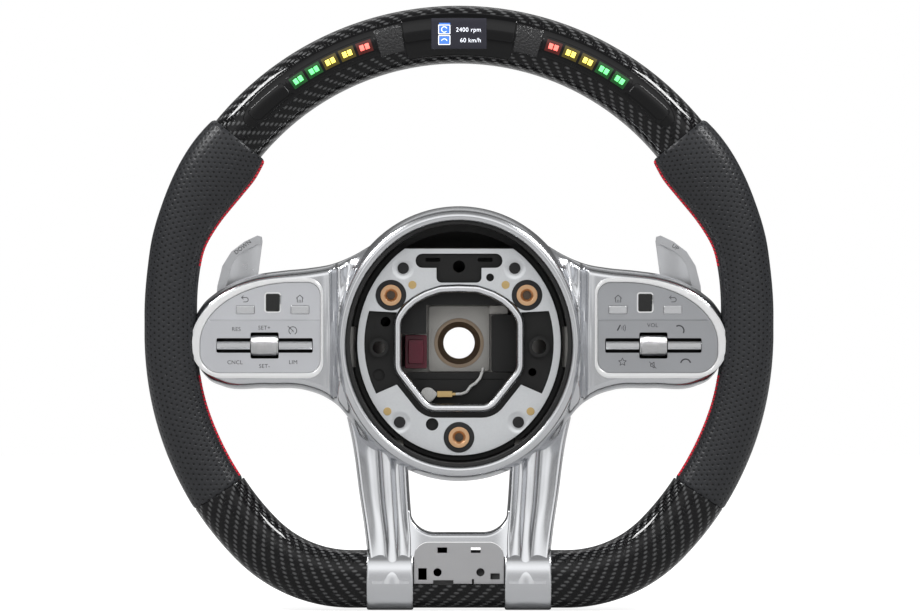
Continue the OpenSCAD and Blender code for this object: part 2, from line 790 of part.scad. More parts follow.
module hub_insert() {
    color([0.38, 0.3, 0.22]) difference() {
        peg(0, 0, insert_r, insert_front, insert_back);
        peg(0, 0, bore_r, insert_front - 1, insert_back + 1);
        translate([0, insert_front - 0.01, 0]) rotate([-90, 0, 0])
            cylinder(r1 = bore_r + 3.4, r2 = bore_r, h = -insert_front - land_l / 2 + 0.01);
        slab(land_l / 2, insert_back + 1) polygon([for (i = [0:35]) for (k = [0:3])
            let (a = 10 * i + [1, 3, 5.6, 7.6][k], r = bore_r + [0.3, 1.2, 1.2, 0.3][k])
            [r * cos(a), r * sin(a)]]);
    }
}

// Inside of the hub

module hub_liner() {
    color(black) difference() {
        oval_sweep() polygon([[-0.1, ring_ahead - 2.5], [-0.1, -liner_back - 1.6],
            [-6, -liner_back - 1.6], [-6, -liner_back], [-2, -liner_back], [-2, ring_ahead - 2.5]]);
        pair() side_spoke(fit);
        pair() low_spoke(fit);
    }
}

window_half = [[0, 22.4], [9.5, 22], [15.8, 19.8], [20.6, 17.1], [23.7, 14.4], [26.1, 11.2],
    [26.1, -12], [13.5, -28]];
bead_w = 4.5;
bead_rise = 2;
lip_in = 1.2;
lip_out = 3.4;

module window(g) {
    offset(r = g + 8, $fn = 40) polygon(concat(window_half,
        [for (i = [len(window_half) - 1:-1:1]) [-window_half[i][0], window_half[i][1]]]));
}

module horn_plate() {
    color(zinc) difference() {
        slab(plate_y, plate_y + plate_t) difference() {
            intersection() {
                polygon(oval_pts(-6.1));
                translate([-far, -far]) square([2 * far, far + 56.2]);
            }
            pair() intersection() {
                polygon(oval_pts(-10.3));
                polygon([[30, 18], [66, 20], [66, -20], [52, -31], [36, -24]]);
            }
            intersection() {
                window(8);
                translate([-far, -far]) square([2 * far, far + 12]);
            }
            window(bead_w);
            translate([0, 49]) rounded(51.4, 8.4, 4);
            translate([0, 43]) rounded(26.6, 14, 3);
        }
        for (b = bushes) peg(b[0], b[1], sleeve_r + pin_fit, plate_y - 5, plate_y + 5);
        for (p = rivets) peg(p[0], p[1], 1.6, plate_y - 1, plate_y + 4);
        for (p = buffers) peg(p[0], p[1], 2.6, plate_y - 1, plate_y + 4);
        peg(18.4, 39.1, 2.3, plate_y - 1, plate_y + 4);
        peg(-15.9, -47.9, 3.7, plate_y - 1, plate_y + 4);
    }
}

// The folded rim of the plate's window, which stands out ahead of the sheet
module plate_bead() {
    color(zinc) slab(plate_y - bead_rise, plate_y + plate_t) difference() {
        window(bead_w);
        window(0);
    }
}

module contact_rivets() {
    color([0.75, 0.6, 0.3]) for (p = rivets) {
        peg(p[0], p[1], 2.4, plate_y - 0.6, plate_y);
        peg(p[0], p[1], 1.6, plate_y, plate_y + plate_t + 0.1);
    }
}

module rubber_buffers() {
    color([0.09, 0.09, 0.09]) for (p = buffers) {
        peg(p[0], p[1], 3.4, plate_y - 2.4, plate_y);
        peg(p[0], p[1], 2.6, plate_y, plate_y + plate_t);
    }
}

module contact_carrier() {
    color(black) difference() {
        union() {
            slab(carrier_y, liner_back) difference() {
                intersection() {
                    polygon(oval_pts(-3.2));
                    translate([-far, -far]) square([2 * far, far + 57]);
                }
                window(lip_out);
            }
            for (s = [[-47.5, -2.4, 5.6], [47.5, -1.9, 6.2]]) peg(s[0], s[1], s[2], plate_y, liner_back);
        }
        for (b = bushes) peg(b[0], b[1], sleeve_r - 1.5 + pin_fit, -60, -20);
        for (s = [[-47.5, -2.4, 3.6], [47.5, -1.9, 4.2]]) peg(s[0], s[1], s[2], -60, -20);
        peg(-43.5, 12.8, 3, -60, -20);
        peg(-47.6, -18.8, 3.6, carrier_y - 1, carrier_y + 1.8);
        peg(43.5, -17, 2.4, -60, -20);
        peg(0, 45.6, 3.6, -60, -20);
        pair() side_spoke(fit);
        pair() low_spoke(fit);
        pair() slab(-60, -20) translate([15.5, 49.6]) rounded(9, 2.4, 1);
    }
}

module carrier_lip() {
    color(black) slab(carrier_y, shelf_y) difference() {
        window(lip_out);
        window(lip_in);
    }
}

module carrier_shelf() {
    color(black) slab(shelf_y - 2, shelf_y) intersection() {
        window(lip_in);
        union() {
            translate([-50, 22.8]) square([100, 20]);
            translate([-50, 5.6]) square([30.6, 30]);
        }
    }
}

module bush_sleeves() {
    color(black) for (b = bushes) difference() {
        union() {
            peg(b[0], b[1], sleeve_r, plate_y - 0.8, carrier_y - 0.1);
            peg(b[0], b[1], sleeve_r - 1.5, carrier_y - 0.1, bush_back);
        }
        peg(b[0], b[1], bush_r, -60, -20);
    }
}

module guide_bushes() {
    color([0.78, 0.5, 0.3]) for (b = bushes) difference() {
        peg(b[0], b[1], bush_r, plate_y - 1.4, bush_back);
        peg(b[0], b[1], bush_hole_r, -60, -20);
        translate([b[0], plate_y - 1.41, b[1]]) rotate([-90, 0, 0])
            cylinder(r1 = bush_hole_r + 1.4, r2 = bush_hole_r, h = 1.6);
    }
}

unit_y = -30;
unit_z = -31.3;
unit_h = 28;

module control_unit() {
    color(black) {
        difference() {
            slab(unit_y, -16) translate([0, unit_z]) rounded(64, unit_h, 2);
            slab(unit_y - 1, unit_y + 0.8) translate([0, unit_z]) rounded(56, unit_h - 8, 2);
        }
        for (m = [-1, 1]) peg(m * 20, -29, 3, -16, -10);
    }
}

module side_module() {
    color(black) {
        slab(-30, -21) translate([27.4, 0]) rounded(16.2, 34, 1.5);
        peg(module_foot[0], module_foot[1], 2, -21, -10);
    }
}

module connector_block() {
    color([0.45, 0.05, 0.12]) {
        slab(-28, -16.5) translate([-25.6, -5]) rounded(13, 20, 1);
        slab(-31, -28) translate([-25.6, -5]) rounded(9, 14, 1);
    }
}

// The horn's white lead, held in the hub all the way
unit_top = unit_z + unit_h / 2;
lead_y = unit_y - 2.3;
lead_route = [[14.3, -24, unit_top], [14.3, -25.4, unit_top + 1.6], [14.2, -28.6, unit_top + 2],
    [13.7, -31.4, unit_top], [12.4, lead_y, unit_top - 3.4], [10, lead_y, unit_top - 6.2],
    [7, lead_y, unit_top - 8.2], [4.4, lead_y, -29], [1.4, lead_y, -30.1], [-2, lead_y, -30.2]];
lead_r = 0.9;
function lead_way(i) = let (n = len(lead_route),
    d = lead_route[min(i + 1, n - 1)] - lead_route[max(i - 1, 0)])
    i == 0 ? [0, 0, 1] : i == n - 1 ? [-1, 0, 0] : d / norm(d);

module horn_lead() {
    color("white") loft([for (i = [0:len(lead_route) - 1])
        let (w = lead_way(i), c = cross(w, [0.2, 1, 0.3]), u = c / norm(c), v = cross(w, u))
        [for (k = [7:-1:0]) lead_route[i] + lead_r * (u * cos(45 * k) + v * sin(45 * k))]]);
}

module lead_terminal() {
    color([0.75, 0.68, 0.5]) {
        slab(lead_y - 1.3, lead_y + 1.3) translate([-8.5, -30.2]) square([9, 3.6], center = true);
        slab(lead_y - 0.7, lead_y + 0.7) translate([-3, -30.2]) square([2, 1.6], center = true);
        slab(lead_y + 1.3, unit_y + 0.8) translate([-8.5, -30.2]) square([4, 3], center = true);
    }
}

module lead_cap() {
    color("white") slab(lead_y - 1.6, unit_y + 0.8) hull() {
        translate([-18.5, -30.6]) circle(r = 4.4);
        translate([-14.7, -30.2]) circle(r = 1.6);
    }
}

module cover_screws() {
    color([0.2, 0.2, 0.21]) screw_places() {
        peg(0, 0, 3.4, 3.5, 5.4);
        peg(0, 0, screw_r, -9, 3.5);
    }
}

// Shift paddles

blade_back = -39.5;
barrel_r = 3.2;
neck_z = [3, 19];

module paddle(s) {
    color([0.7, 0.71, 0.73]) side(s) difference() {
        union() {
            slab(blade_back - blade_t, blade_back) blade_outline(0);
            slab(-41.8, -38.6) translate([hinge_x, neck_z[0]]) square([34, neck_z[1] - neck_z[0]]);
            translate([hinge_x, -40, 1.3]) cylinder(r = barrel_r, h = 19.4);
        }
        intersection() {
            slab(-far, 0) blade_outline(-5.3);
            translate([126, blade_back - blade_t - 35.2, -30]) cylinder(r = 38, h = 120, $fn = 120);
        }
        translate([hinge_x, -40, -10]) cylinder(r = pin_r + pin_fit, h = 50);
    }
}

function blade_pts() = [[116.6, -6], [117.4, 12], [119.2, 40.5], [116.6, 60.4], [117, 63.2],
    [119.4, 64], [127, 60.4], [134.9, 54.4], [140.2, 46], [143.2, 34], [144, 20], [142.4, 6],
    [137, -6], [128, -11], [120, -11]];

module blade_outline(g) {
    if (g < 0) intersection() {
        translate([g, 0]) polygon(blade_pts());
        translate([0, g]) polygon(blade_pts());
        translate([g * 0.4 - 3, -20]) square([200, 120]);
    }
    else polygon(blade_pts());
}

module paddle_bracket(s) {
    color(black) side(s) difference() {
        union() {
            slab(rear_y, rear_y + 2) translate([hinge_x - 6, -2]) square([13, 26]);
            for (z = [-2, 21]) translate([hinge_x - 4.5, rear_y, z]) cube([9, 13, 3]);
        }
        translate([hinge_x, -40, -10]) cylinder(r = pin_r, h = 50);
    }
}

module paddle_pin(s) {
    color("silver") side(s) translate([hinge_x, -40, -2.6]) cylinder(r = pin_r, h = 27.2);
}

// Switch pods. A form holds the centre and half sizes of the outer curve, the inner
// edge, the inner corner radius, the lower edge and the lower outer corner radius
bezel_form = [100, 57.5, 38.7, 79.8, 9, -20.2, 19.3];
plate_form = [97, 55, 36, 81.6, 7.5, -17, 12];

function pod_pts(f, g = 0) = concat(
    arc_pts([f[0], 0], f[1] + g, f[2] + g, 0, 90, 16),
    arc_pts([f[3] + f[4], f[2] - f[4]], f[4] + g, f[4] + g, 90, 180, 8),
    arc_pts([f[3] + f[4], f[5] + f[4]], f[4] + g, f[4] + g, 180, 270, 8),
    arc_pts([f[0] + f[1] - f[6], f[5] + f[6]], f[6] + g, f[6] + g, 270, 359, 12));

module switch_bezel(s) {
    color([0.82, 0.83, 0.85]) side(s) difference() {
        union() {
            slab(-71.3, -60) polygon(pod_pts(bezel_form));
            slab(-72, -71.3) polygon(pod_pts(bezel_form, -0.7));
        }
        slab(-71.4, 0) polygon(pod_pts(plate_form, 0.25));
        slab(-far, -71.4) polygon(pod_pts(plate_form, 0.7));
    }
}

button_x = [11.3, -20.8];
button_z = 20;
key_y = -71;
pad_x = -4.8;
pad_z = 24.2;

module switch_plate(s) {
    color([0.7, 0.71, 0.73]) side(s) difference() {
        intersection() {
            slab(-80, pod_plate_back) polygon(pod_pts(plate_form));
            bar(70, 160) polygon([[-60, -30], [-70.4, -30], [-71, 13.2], [-70.2, 14.4],
                [-69.5, 40], [-60, 40]]);
        }
        slab(-far, 0) {
            translate([roller_x, roller_z]) rounded(2 * slot_half, slot_h, 1);
            translate([roller_x, roller_z]) rounded(roller_w + 0.8, 2 * roller_r + 1.4, 1);
            for (x = button_x) translate([roller_x + x, button_z])
                rounded(button_w + 2 * fit, button_h + 2 * fit, 0.8);
            translate([roller_x + pad_x, pad_z]) rounded(pad_w + 2 * fit, pad_h + 2 * fit, 1.3);
        }
    }
}

// Posts of the pod's housing carry the roller and the rockers on one axis
post_in = roller_w / 2 + 0.4;
post_t = 2.6;
rocker_end = slot_half - 0.4;
post_out = rocker_end + 0.1;

module switch_housing(s) {
    color(black) side(s) difference() {
        union() {
            slab(-60.4, pod_floor) polygon(pod_pts(plate_form, -0.3));
            slab(pod_plate_back, -60.4) difference() {
                polygon(pod_pts(plate_form, -0.3));
                polygon(pod_pts(plate_form, -1.8));
            }
            for (m = [-1, 1]) for (x = [post_in, post_out])
                translate([roller_x + (m > 0 ? x : -x - post_t), -67.9, roller_z - 2.6])
                    cube([post_t, 8, 5.2]);
        }
        translate([roller_x, roller_y, roller_z]) rotate([0, 90, 0])
            cylinder(r = pin_r + pin_fit, h = 66, center = true);
        translate([roller_x, roller_y, roller_z]) rotate([0, 90, 0])
            cylinder(r = roller_r + 0.5, h = 2 * post_in, center = true);
        for (x = button_x) peg(roller_x + x, button_z, 2, -80, -58.4);
        peg(roller_x + pad_x, pad_z, 2.4, -80, -58.4);
    }
}

// A push button at x along the pod from the roller, with its stem
module push_key(s, x) {
    color([0.78, 0.79, 0.81]) side(s) translate([roller_x + x, 0, button_z]) {
        slab(key_y, key_y + 0.5) rounded(button_w - 0.7, button_h - 0.7, 0.6);
        slab(key_y + 0.5, -66.9) rounded(button_w, button_h, 0.8);
        slab(-67.6, -66.2) rounded(button_w + 1.4, button_h + 1.4, 0.8);
        peg(0, 0, 1.7, -66.2, -60);
    }
}

module back_button(s) {
    push_key(s, button_x[0]);
}

module home_button(s) {
    push_key(s, button_x[1]);
}

module touch_pad(s) {
    color(black) side(s) translate([roller_x + pad_x, 0, pad_z]) {
        slab(-70.9, -66.9) rounded(pad_w, pad_h, 1.2);
        slab(-67.6, -66.2) rounded(pad_w + 1.4, pad_h + 1.4, 1.2);
        peg(0, 0, 2.1, -66.2, -60);
    }
}

// A rocker bar outward (m = 1) or inward (m = -1) of the roller, on two stub pins
module rocker(s, m) {
    x0 = roller_w / 2 + 0.5;
    cheek = [post_in + post_t + 0.3, rocker_end - 1.8];
    color([0.8, 0.81, 0.83]) side(s) translate([roller_x, 0, roller_z]) scale_x(m) {
        bar(x0, rocker_end) polygon([[-69.2, -rocker_h / 2], [-71.8, -rocker_h / 2],
            [-73, -rocker_h / 4], [-73, rocker_h / 4], [-71.8, rocker_h / 2],
            [-69.2, rocker_h / 2]]);
        for (x = cheek) bar(x, x + 1.5) union() {
            translate([-70, -2]) square([4.5, 4]);
            translate([roller_y, 0]) circle(r = 2);
        }
        translate([cheek[0] - 1.6, roller_y, 0]) rotate([0, 90, 0]) cylinder(r = pin_r, h = 1.7);
        translate([cheek[1] + 1.4, roller_y, 0]) rotate([0, 90, 0]) cylinder(r = pin_r, h = 2);
    }
}

// Mirrors the child when m is negative
module scale_x(m) {
    if (m > 0) children();
    else mirror([1, 0, 0]) children();
}

module roller(s) {
    teeth = 48;
    color([0.75, 0.76, 0.78]) side(s) translate([roller_x, roller_y, roller_z]) {
        bar(-roller_w / 2 + 1, roller_w / 2 - 1) polygon([for (i = [0:2 * teeth - 1])
            let (a = 180 * i / teeth, r = roller_r - (i % 2) * 0.35) [r * cos(a), r * sin(a)]]);
        rotate([0, 90, 0]) cylinder(r = roller_r - 0.4, h = roller_w, center = true);
        rotate([0, 90, 0]) cylinder(r = pin_r, h = roller_w + 2.6, center = true);
    }
}

// Pairs that share one node
module side_arms() {
    for (s = [-1, 1]) side_arm(s);
}

module low_arms() {
    for (s = [-1, 1]) low_arm(s);
}

module carbon_lowers() {
    for (s = [-1, 1]) carbon_lower(s);
}

module leather_grips() {
    for (s = [-1, 1]) leather(s);
}

module arm_trims() {
    for (s = [-1, 1]) arm_trim(s);
}

module arm_covers() {
    for (s = [-1, 1]) arm_cover(s);
}

module paddle_brackets() {
    for (s = [-1, 1]) paddle_bracket(s);
}

module paddle_pins() {
    for (s = [-1, 1]) paddle_pin(s);
}

module switch_housings() {
    for (s = [-1, 1]) switch_housing(s);
}

module switch_bezels() {
    for (s = [-1, 1]) switch_bezel(s);
}

module switch_plates() {
    for (s = [-1, 1]) switch_plate(s);
}

// The control unit and the module beside it
module control_units() {
    control_unit();
    side_module();
}

armature();
bush_ribs();
bush_posts();
side_arms();
low_arms();
rim_hoop();
hub_insert();
rim_core();
carbon_top();
carbon_lowers();
carbon_bottom();
leather_grips();
display_housing();
display_screen();
touch_panels();
light_lenses();
light_chips();
end_keys();
hub_ring();
arm_trims();
trim_lower();
badge_plate();
rear_cover();
arm_covers();
lower_cover();
hub_liner();
horn_plate();
plate_bead();
contact_carrier();
carrier_lip();
carrier_shelf();
guide_bushes();
bush_sleeves();
contact_rivets();
rubber_buffers();
control_units();
connector_block();
horn_lead();
lead_terminal();
lead_cap();
cover_screws();
paddle(-1);  // paddle_left
paddle(1);  // paddle_right
paddle_brackets();
paddle_pins();
switch_housings();
switch_bezels();
switch_plates();
back_button(-1);  // back_button_left
back_button(1);  // back_button_right
home_button(-1);  // home_button_left
home_button(1);  // home_button_right
touch_pad(-1);  // touch_pad_left
touch_pad(1);  // touch_pad_right
rocker(-1, 1);  // outer_rocker_left
rocker(1, 1);  // outer_rocker_right
rocker(-1, -1);  // inner_rocker_left
rocker(1, -1);  // inner_rocker_right
roller(-1);  // roller_left
roller(1);  // roller_right
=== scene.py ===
"""Looks of a flat-bottomed sports steering wheel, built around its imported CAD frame.

Lengths in this file are millimetres until a mesh is made, which turns them into metres.
X runs to the driver's right, Z up, and the front of the wheel faces -Y.
"""

import json
import logging
import math
from collections.abc import Callable, Iterator
from contextlib import contextmanager
from dataclasses import dataclass
from enum import Enum

import bmesh
import bpy
import numpy as np
from mathutils import Matrix, Vector

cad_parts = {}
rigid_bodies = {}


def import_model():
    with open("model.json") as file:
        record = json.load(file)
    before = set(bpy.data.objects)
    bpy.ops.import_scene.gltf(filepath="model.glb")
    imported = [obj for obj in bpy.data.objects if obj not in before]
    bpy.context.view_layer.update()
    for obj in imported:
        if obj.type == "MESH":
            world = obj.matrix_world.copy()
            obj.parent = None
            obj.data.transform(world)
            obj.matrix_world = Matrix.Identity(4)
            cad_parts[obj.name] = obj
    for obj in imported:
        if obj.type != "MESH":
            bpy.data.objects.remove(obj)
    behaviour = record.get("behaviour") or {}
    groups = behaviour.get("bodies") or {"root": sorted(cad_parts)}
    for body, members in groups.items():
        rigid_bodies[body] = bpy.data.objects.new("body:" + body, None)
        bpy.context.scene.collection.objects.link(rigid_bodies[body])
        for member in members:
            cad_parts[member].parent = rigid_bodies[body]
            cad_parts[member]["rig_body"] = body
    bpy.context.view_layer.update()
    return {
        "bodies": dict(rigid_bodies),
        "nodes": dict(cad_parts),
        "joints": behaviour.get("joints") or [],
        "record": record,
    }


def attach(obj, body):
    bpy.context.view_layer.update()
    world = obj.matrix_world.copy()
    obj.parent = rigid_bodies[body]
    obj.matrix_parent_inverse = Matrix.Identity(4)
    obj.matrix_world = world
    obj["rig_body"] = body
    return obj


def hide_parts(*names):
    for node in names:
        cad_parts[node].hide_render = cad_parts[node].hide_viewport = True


Array = np.ndarray
Colour = tuple[float, float, float]
Curve = tuple[tuple[float, float], ...]
Pair = tuple[float, float]
Frames = tuple[Array, Array, Array]
Object, Mesh = bpy.types.Object, bpy.types.Mesh
Node, Socket, Tree = bpy.types.Node, bpy.types.NodeSocket, bpy.types.NodeTree

MM = 0.001
SIDES = ((-1, "left"), (1, "right"))
SURFACE_UV = "surface"
SMOOTH_CREASE = 35.0
MERGE_DISTANCE = 2e-6
FLAT_EDGE = 1e-7
TINY = 1e-9
FIBRE_SCALE, FIBRE_SHARE = 5200.0, 0.12
BROAD_SCALE, SMUDGE_SCALE = 28.0, 240.0
LOG = logging.getLogger("steering_wheel")


# ---------------------------------------------------------------- curves and grids


def smooth_curve(x: Array, points: Curve) -> Array:
    """Reads a smooth curve through given points: cubic Hermite pieces, slopes by differences.

    Args:
        x: Places to read the curve at.
        points: Pairs of place and value, in order of place.

    Returns:
        The curve's value at each place, held level past both ends.
    """
    knots = np.asarray(points, float)
    slopes = np.gradient(knots[:, 1], knots[:, 0])
    x = np.clip(x, knots[0, 0], knots[-1, 0])
    i = np.clip(np.searchsorted(knots[:, 0], x, side="right") - 1, 0, len(knots) - 2)
    step = knots[i + 1, 0] - knots[i, 0]
    t = (x - knots[i, 0]) / step
    return (
        (2 * t**3 - 3 * t**2 + 1) * knots[i, 1]
        + (t**3 - 2 * t**2 + t) * step * slopes[i]
        + (3 * t**2 - 2 * t**3) * knots[i + 1, 1]
        + (t**3 - t**2) * step * slopes[i + 1]
    )


def unit(vectors: Array) -> Array:
    """Scales vectors along the last axis to length 1."""
    return vectors / np.maximum(np.linalg.norm(vectors, axis=-1, keepdims=True), TINY)


def mirrored(points: Array, side: int) -> Array:
    """Returns points as they are for side 1, or mirrored across the middle plane for side -1."""
    return points * np.array([side, 1.0, 1.0])


def compass(start: float, end: float, steps: int, endpoint: bool = True) -> tuple[Array, Array]:
    """Angles in radians between two angles in degrees, and their unit vectors (x, z)."""
    angle = np.radians(np.linspace(start, end, steps, endpoint=endpoint))
    return angle, np.stack([np.cos(angle), np.sin(angle)], 1)


def arc(centre: Pair, radius: float, start: float, end: float, steps: int) -> Array:
    """Points (x, z) of an arc from one angle in degrees to another."""
    return np.array(centre) + radius * compass(start, end, steps)[1]


def resampled(path: Array, spacing: float) -> Array:
    """Returns points at even spacing along a closed polyline of (x, z) points."""
    path = np.vstack([path, path[:1]])
    length = np.r_[0, np.cumsum(np.linalg.norm(np.diff(path, axis=0), axis=1))]
    at = np.linspace(0, length[-1], max(int(length[-1] / spacing), 8), endpoint=False)
    return np.stack([np.interp(at, length, path[:, k]) for k in (0, 1)], 1)


def outward(path: Array) -> Array:
    """Unit normals of a closed counter-clockwise (x, z) path, by central differences."""
    ahead = np.roll(path, -1, 0) - np.roll(path, 1, 0)
    return unit(np.stack([ahead[:, 1], -ahead[:, 0]], 1))


def within(x: Array, z: Array, outline: Array) -> Array:
    """Tells which places lie in a closed outline: a ray along x crosses it oddly often."""
    a, b = outline, np.roll(outline, -1, 0)
    run, rise = (b - a).T
    rise = np.where(np.abs(rise) < TINY, TINY, rise)
    x, z = x[..., None], z[..., None]
    hits = ((a[:, 1] > z) != (b[:, 1] > z)) & (x < a[:, 0] + (z - a[:, 1]) / rise * run)
    return hits.sum(-1) % 2 == 1


def grid_quads(rows: int, cols: int) -> Array:
    """Quads of a grid of points that is stored row by row."""
    i, j = np.meshgrid(np.arange(rows - 1), np.arange(cols - 1), indexing="ij")
    a = (i * cols + j).ravel()
    return np.stack([a, a + cols, a + cols + 1, a + 1], 1)


def eased(distance: Array, radius: float) -> Array:
    """Drop of a rounded edge: radius less the height of a quarter circle at that distance in."""
    inside = np.clip(radius - distance, 0, radius)
    return radius - np.sqrt(np.maximum(radius**2 - inside**2, 0))


def risen(share: Array, power: float) -> Array:
    """Rise of a superelliptic edge, 0 at share 0 and full at share 1."""
    return (1 - (1 - share) ** power) ** (1 / power)


def cosine_steps(count: int, level: float = 0.0) -> Array:
    """Steps from 0 to 1, closer at both ends; level is the share of even spacing in them."""
    bunched = 0.5 * (1 - np.cos(np.linspace(0, np.pi, count)))
    return (1 - level) * bunched + level * np.linspace(0, 1, count)


def edge_steps(length: float, radius: float, spacing: float) -> Array:
    """Places across a length, close together over the rounded edge at both ends."""
    near = radius * (1 - np.cos(np.linspace(0, np.pi / 2, 6)))[:-1]
    middle = np.linspace(radius, length - radius, max(int(length / spacing), 2))
    return np.r_[near, middle, (length - near)[::-1]]


# ---------------------------------------------------------------- meshes and pieces


@contextmanager
def editing(mesh: Mesh) -> Iterator[bmesh.types.BMesh]:
    """Opens a mesh for bmesh operators and writes it back."""
    edit = bmesh.new()
    edit.from_mesh(mesh)
    yield edit
    edit.to_mesh(mesh)
    edit.free()


def evaluated(holder: Object) -> Mesh:
    """Returns the final mesh of a text or of an object with modifiers, and removes the holder."""
    bpy.context.scene.collection.objects.link(holder)
    bpy.context.view_layer.update()
    shape = holder.evaluated_get(bpy.context.evaluated_depsgraph_get())
    mesh = bpy.data.meshes.new_from_object(shape)
    bpy.data.objects.remove(holder)
    return mesh


def place(name: str, mesh: Mesh, finish: "Finish", body: str = "wheel",
          nodes: tuple[str, ...] = (), crease: float = SMOOTH_CREASE) -> Object:
    """Links a smooth-shaded piece that wears a finish, rides on a body and replaces nodes."""
    mesh.polygons.foreach_set("use_smooth", np.ones(len(mesh.polygons), bool))
    mesh.set_sharp_from_angle(angle=math.radians(crease))
    mesh.materials.clear()
    mesh.materials.append(finish.material())
    piece = bpy.data.objects.new(name, mesh)
    bpy.context.scene.collection.objects.link(piece)
    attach(piece, body)
    if nodes:
        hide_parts(*nodes)
    return piece


def build(name: str, points: Array, finish: "Finish", quads: Array | None = None,
          body: str = "wheel", nodes: tuple[str, ...] = (), uv: Array | None = None,
          crease: float = SMOOTH_CREASE) -> Object:
    """Makes one closed piece from points in millimetres, merges its seams and turns it outwards.

    Args:
        name: Name of the piece.
        points: Vertices, any shape that ends in 3.
        finish: The finish it wears.
        quads: Faces as rows of four indices; left out, the points are a grid by rows.
        body: The CAD body that carries it.
        nodes: The CAD nodes that it stands for.
        uv: Surface coordinates in metres, one pair for each vertex.
        crease: Angle in degrees above which an edge stays sharp.

    Returns:
        The finished object, at the origin.
    """
    quads = grid_quads(*points.shape[:2]) if quads is None else quads
    points = points.reshape(-1, 3)
    mesh = bpy.data.meshes.new(name)
    mesh.vertices.add(len(points))
    mesh.vertices.foreach_set("co", (points * MM).astype(np.float32).ravel())
    mesh.loops.add(quads.size)
    mesh.loops.foreach_set("vertex_index", quads.astype(np.int32).ravel())
    mesh.polygons.add(len(quads))
    mesh.polygons.foreach_set("loop_start", (np.arange(len(quads)) * 4).astype(np.int32))
    mesh.update(calc_edges=True)
    if uv is not None:
        layer = mesh.uv_layers.new(name=SURFACE_UV)
        layer.data.foreach_set("uv", uv.reshape(-1, 2)[quads.ravel()].astype(np.float32).ravel())
    with editing(mesh) as edit:
        bmesh.ops.remove_doubles(edit, verts=edit.verts, dist=MERGE_DISTANCE)
        bmesh.ops.dissolve_degenerate(edit, edges=edit.edges, dist=FLAT_EDGE)
        bmesh.ops.recalc_face_normals(edit, faces=edit.faces)
    return place(name, mesh, finish, body, nodes, crease)


def slab(name: str, x: Array, y: Array, z: Array, under: Array | float, finish: "Finish",
         side: int = 1, **more: object) -> Object:
    """Makes a closed slab over a grid of places, from a face in front to one behind.

    Args:
        name: Name of the piece.
        x: Where each point of the grid lies across, for the right side.
        y: Depth of the face in front.
        z: Height of each point.
        under: Depth of the face behind.
        finish: The finish it wears.
        side: 1 as given, -1 mirrored to the left.
        **more: What else build() takes.

    Returns:
        The piece.
    """
    faces = np.stack([mirrored(np.stack(np.broadcast_arrays(x, depth, z), -1), side)
                      for depth in (y, under)])
    rows, cols = faces.shape[1:3]
    count = rows * cols
    face = grid_quads(rows, cols)
    index = np.arange(count).reshape(rows, cols)
    rims = [index[0], index[:, -1], index[-1][::-1], index[:, 0][::-1]]
    walls = [np.stack([r[:-1], r[1:], r[1:] + count, r[:-1] + count], 1) for r in rims]
    return build(name, faces, finish, np.vstack([face, face[:, ::-1] + count, *walls]), **more)


# ---------------------------------------------------------------- shader graphs


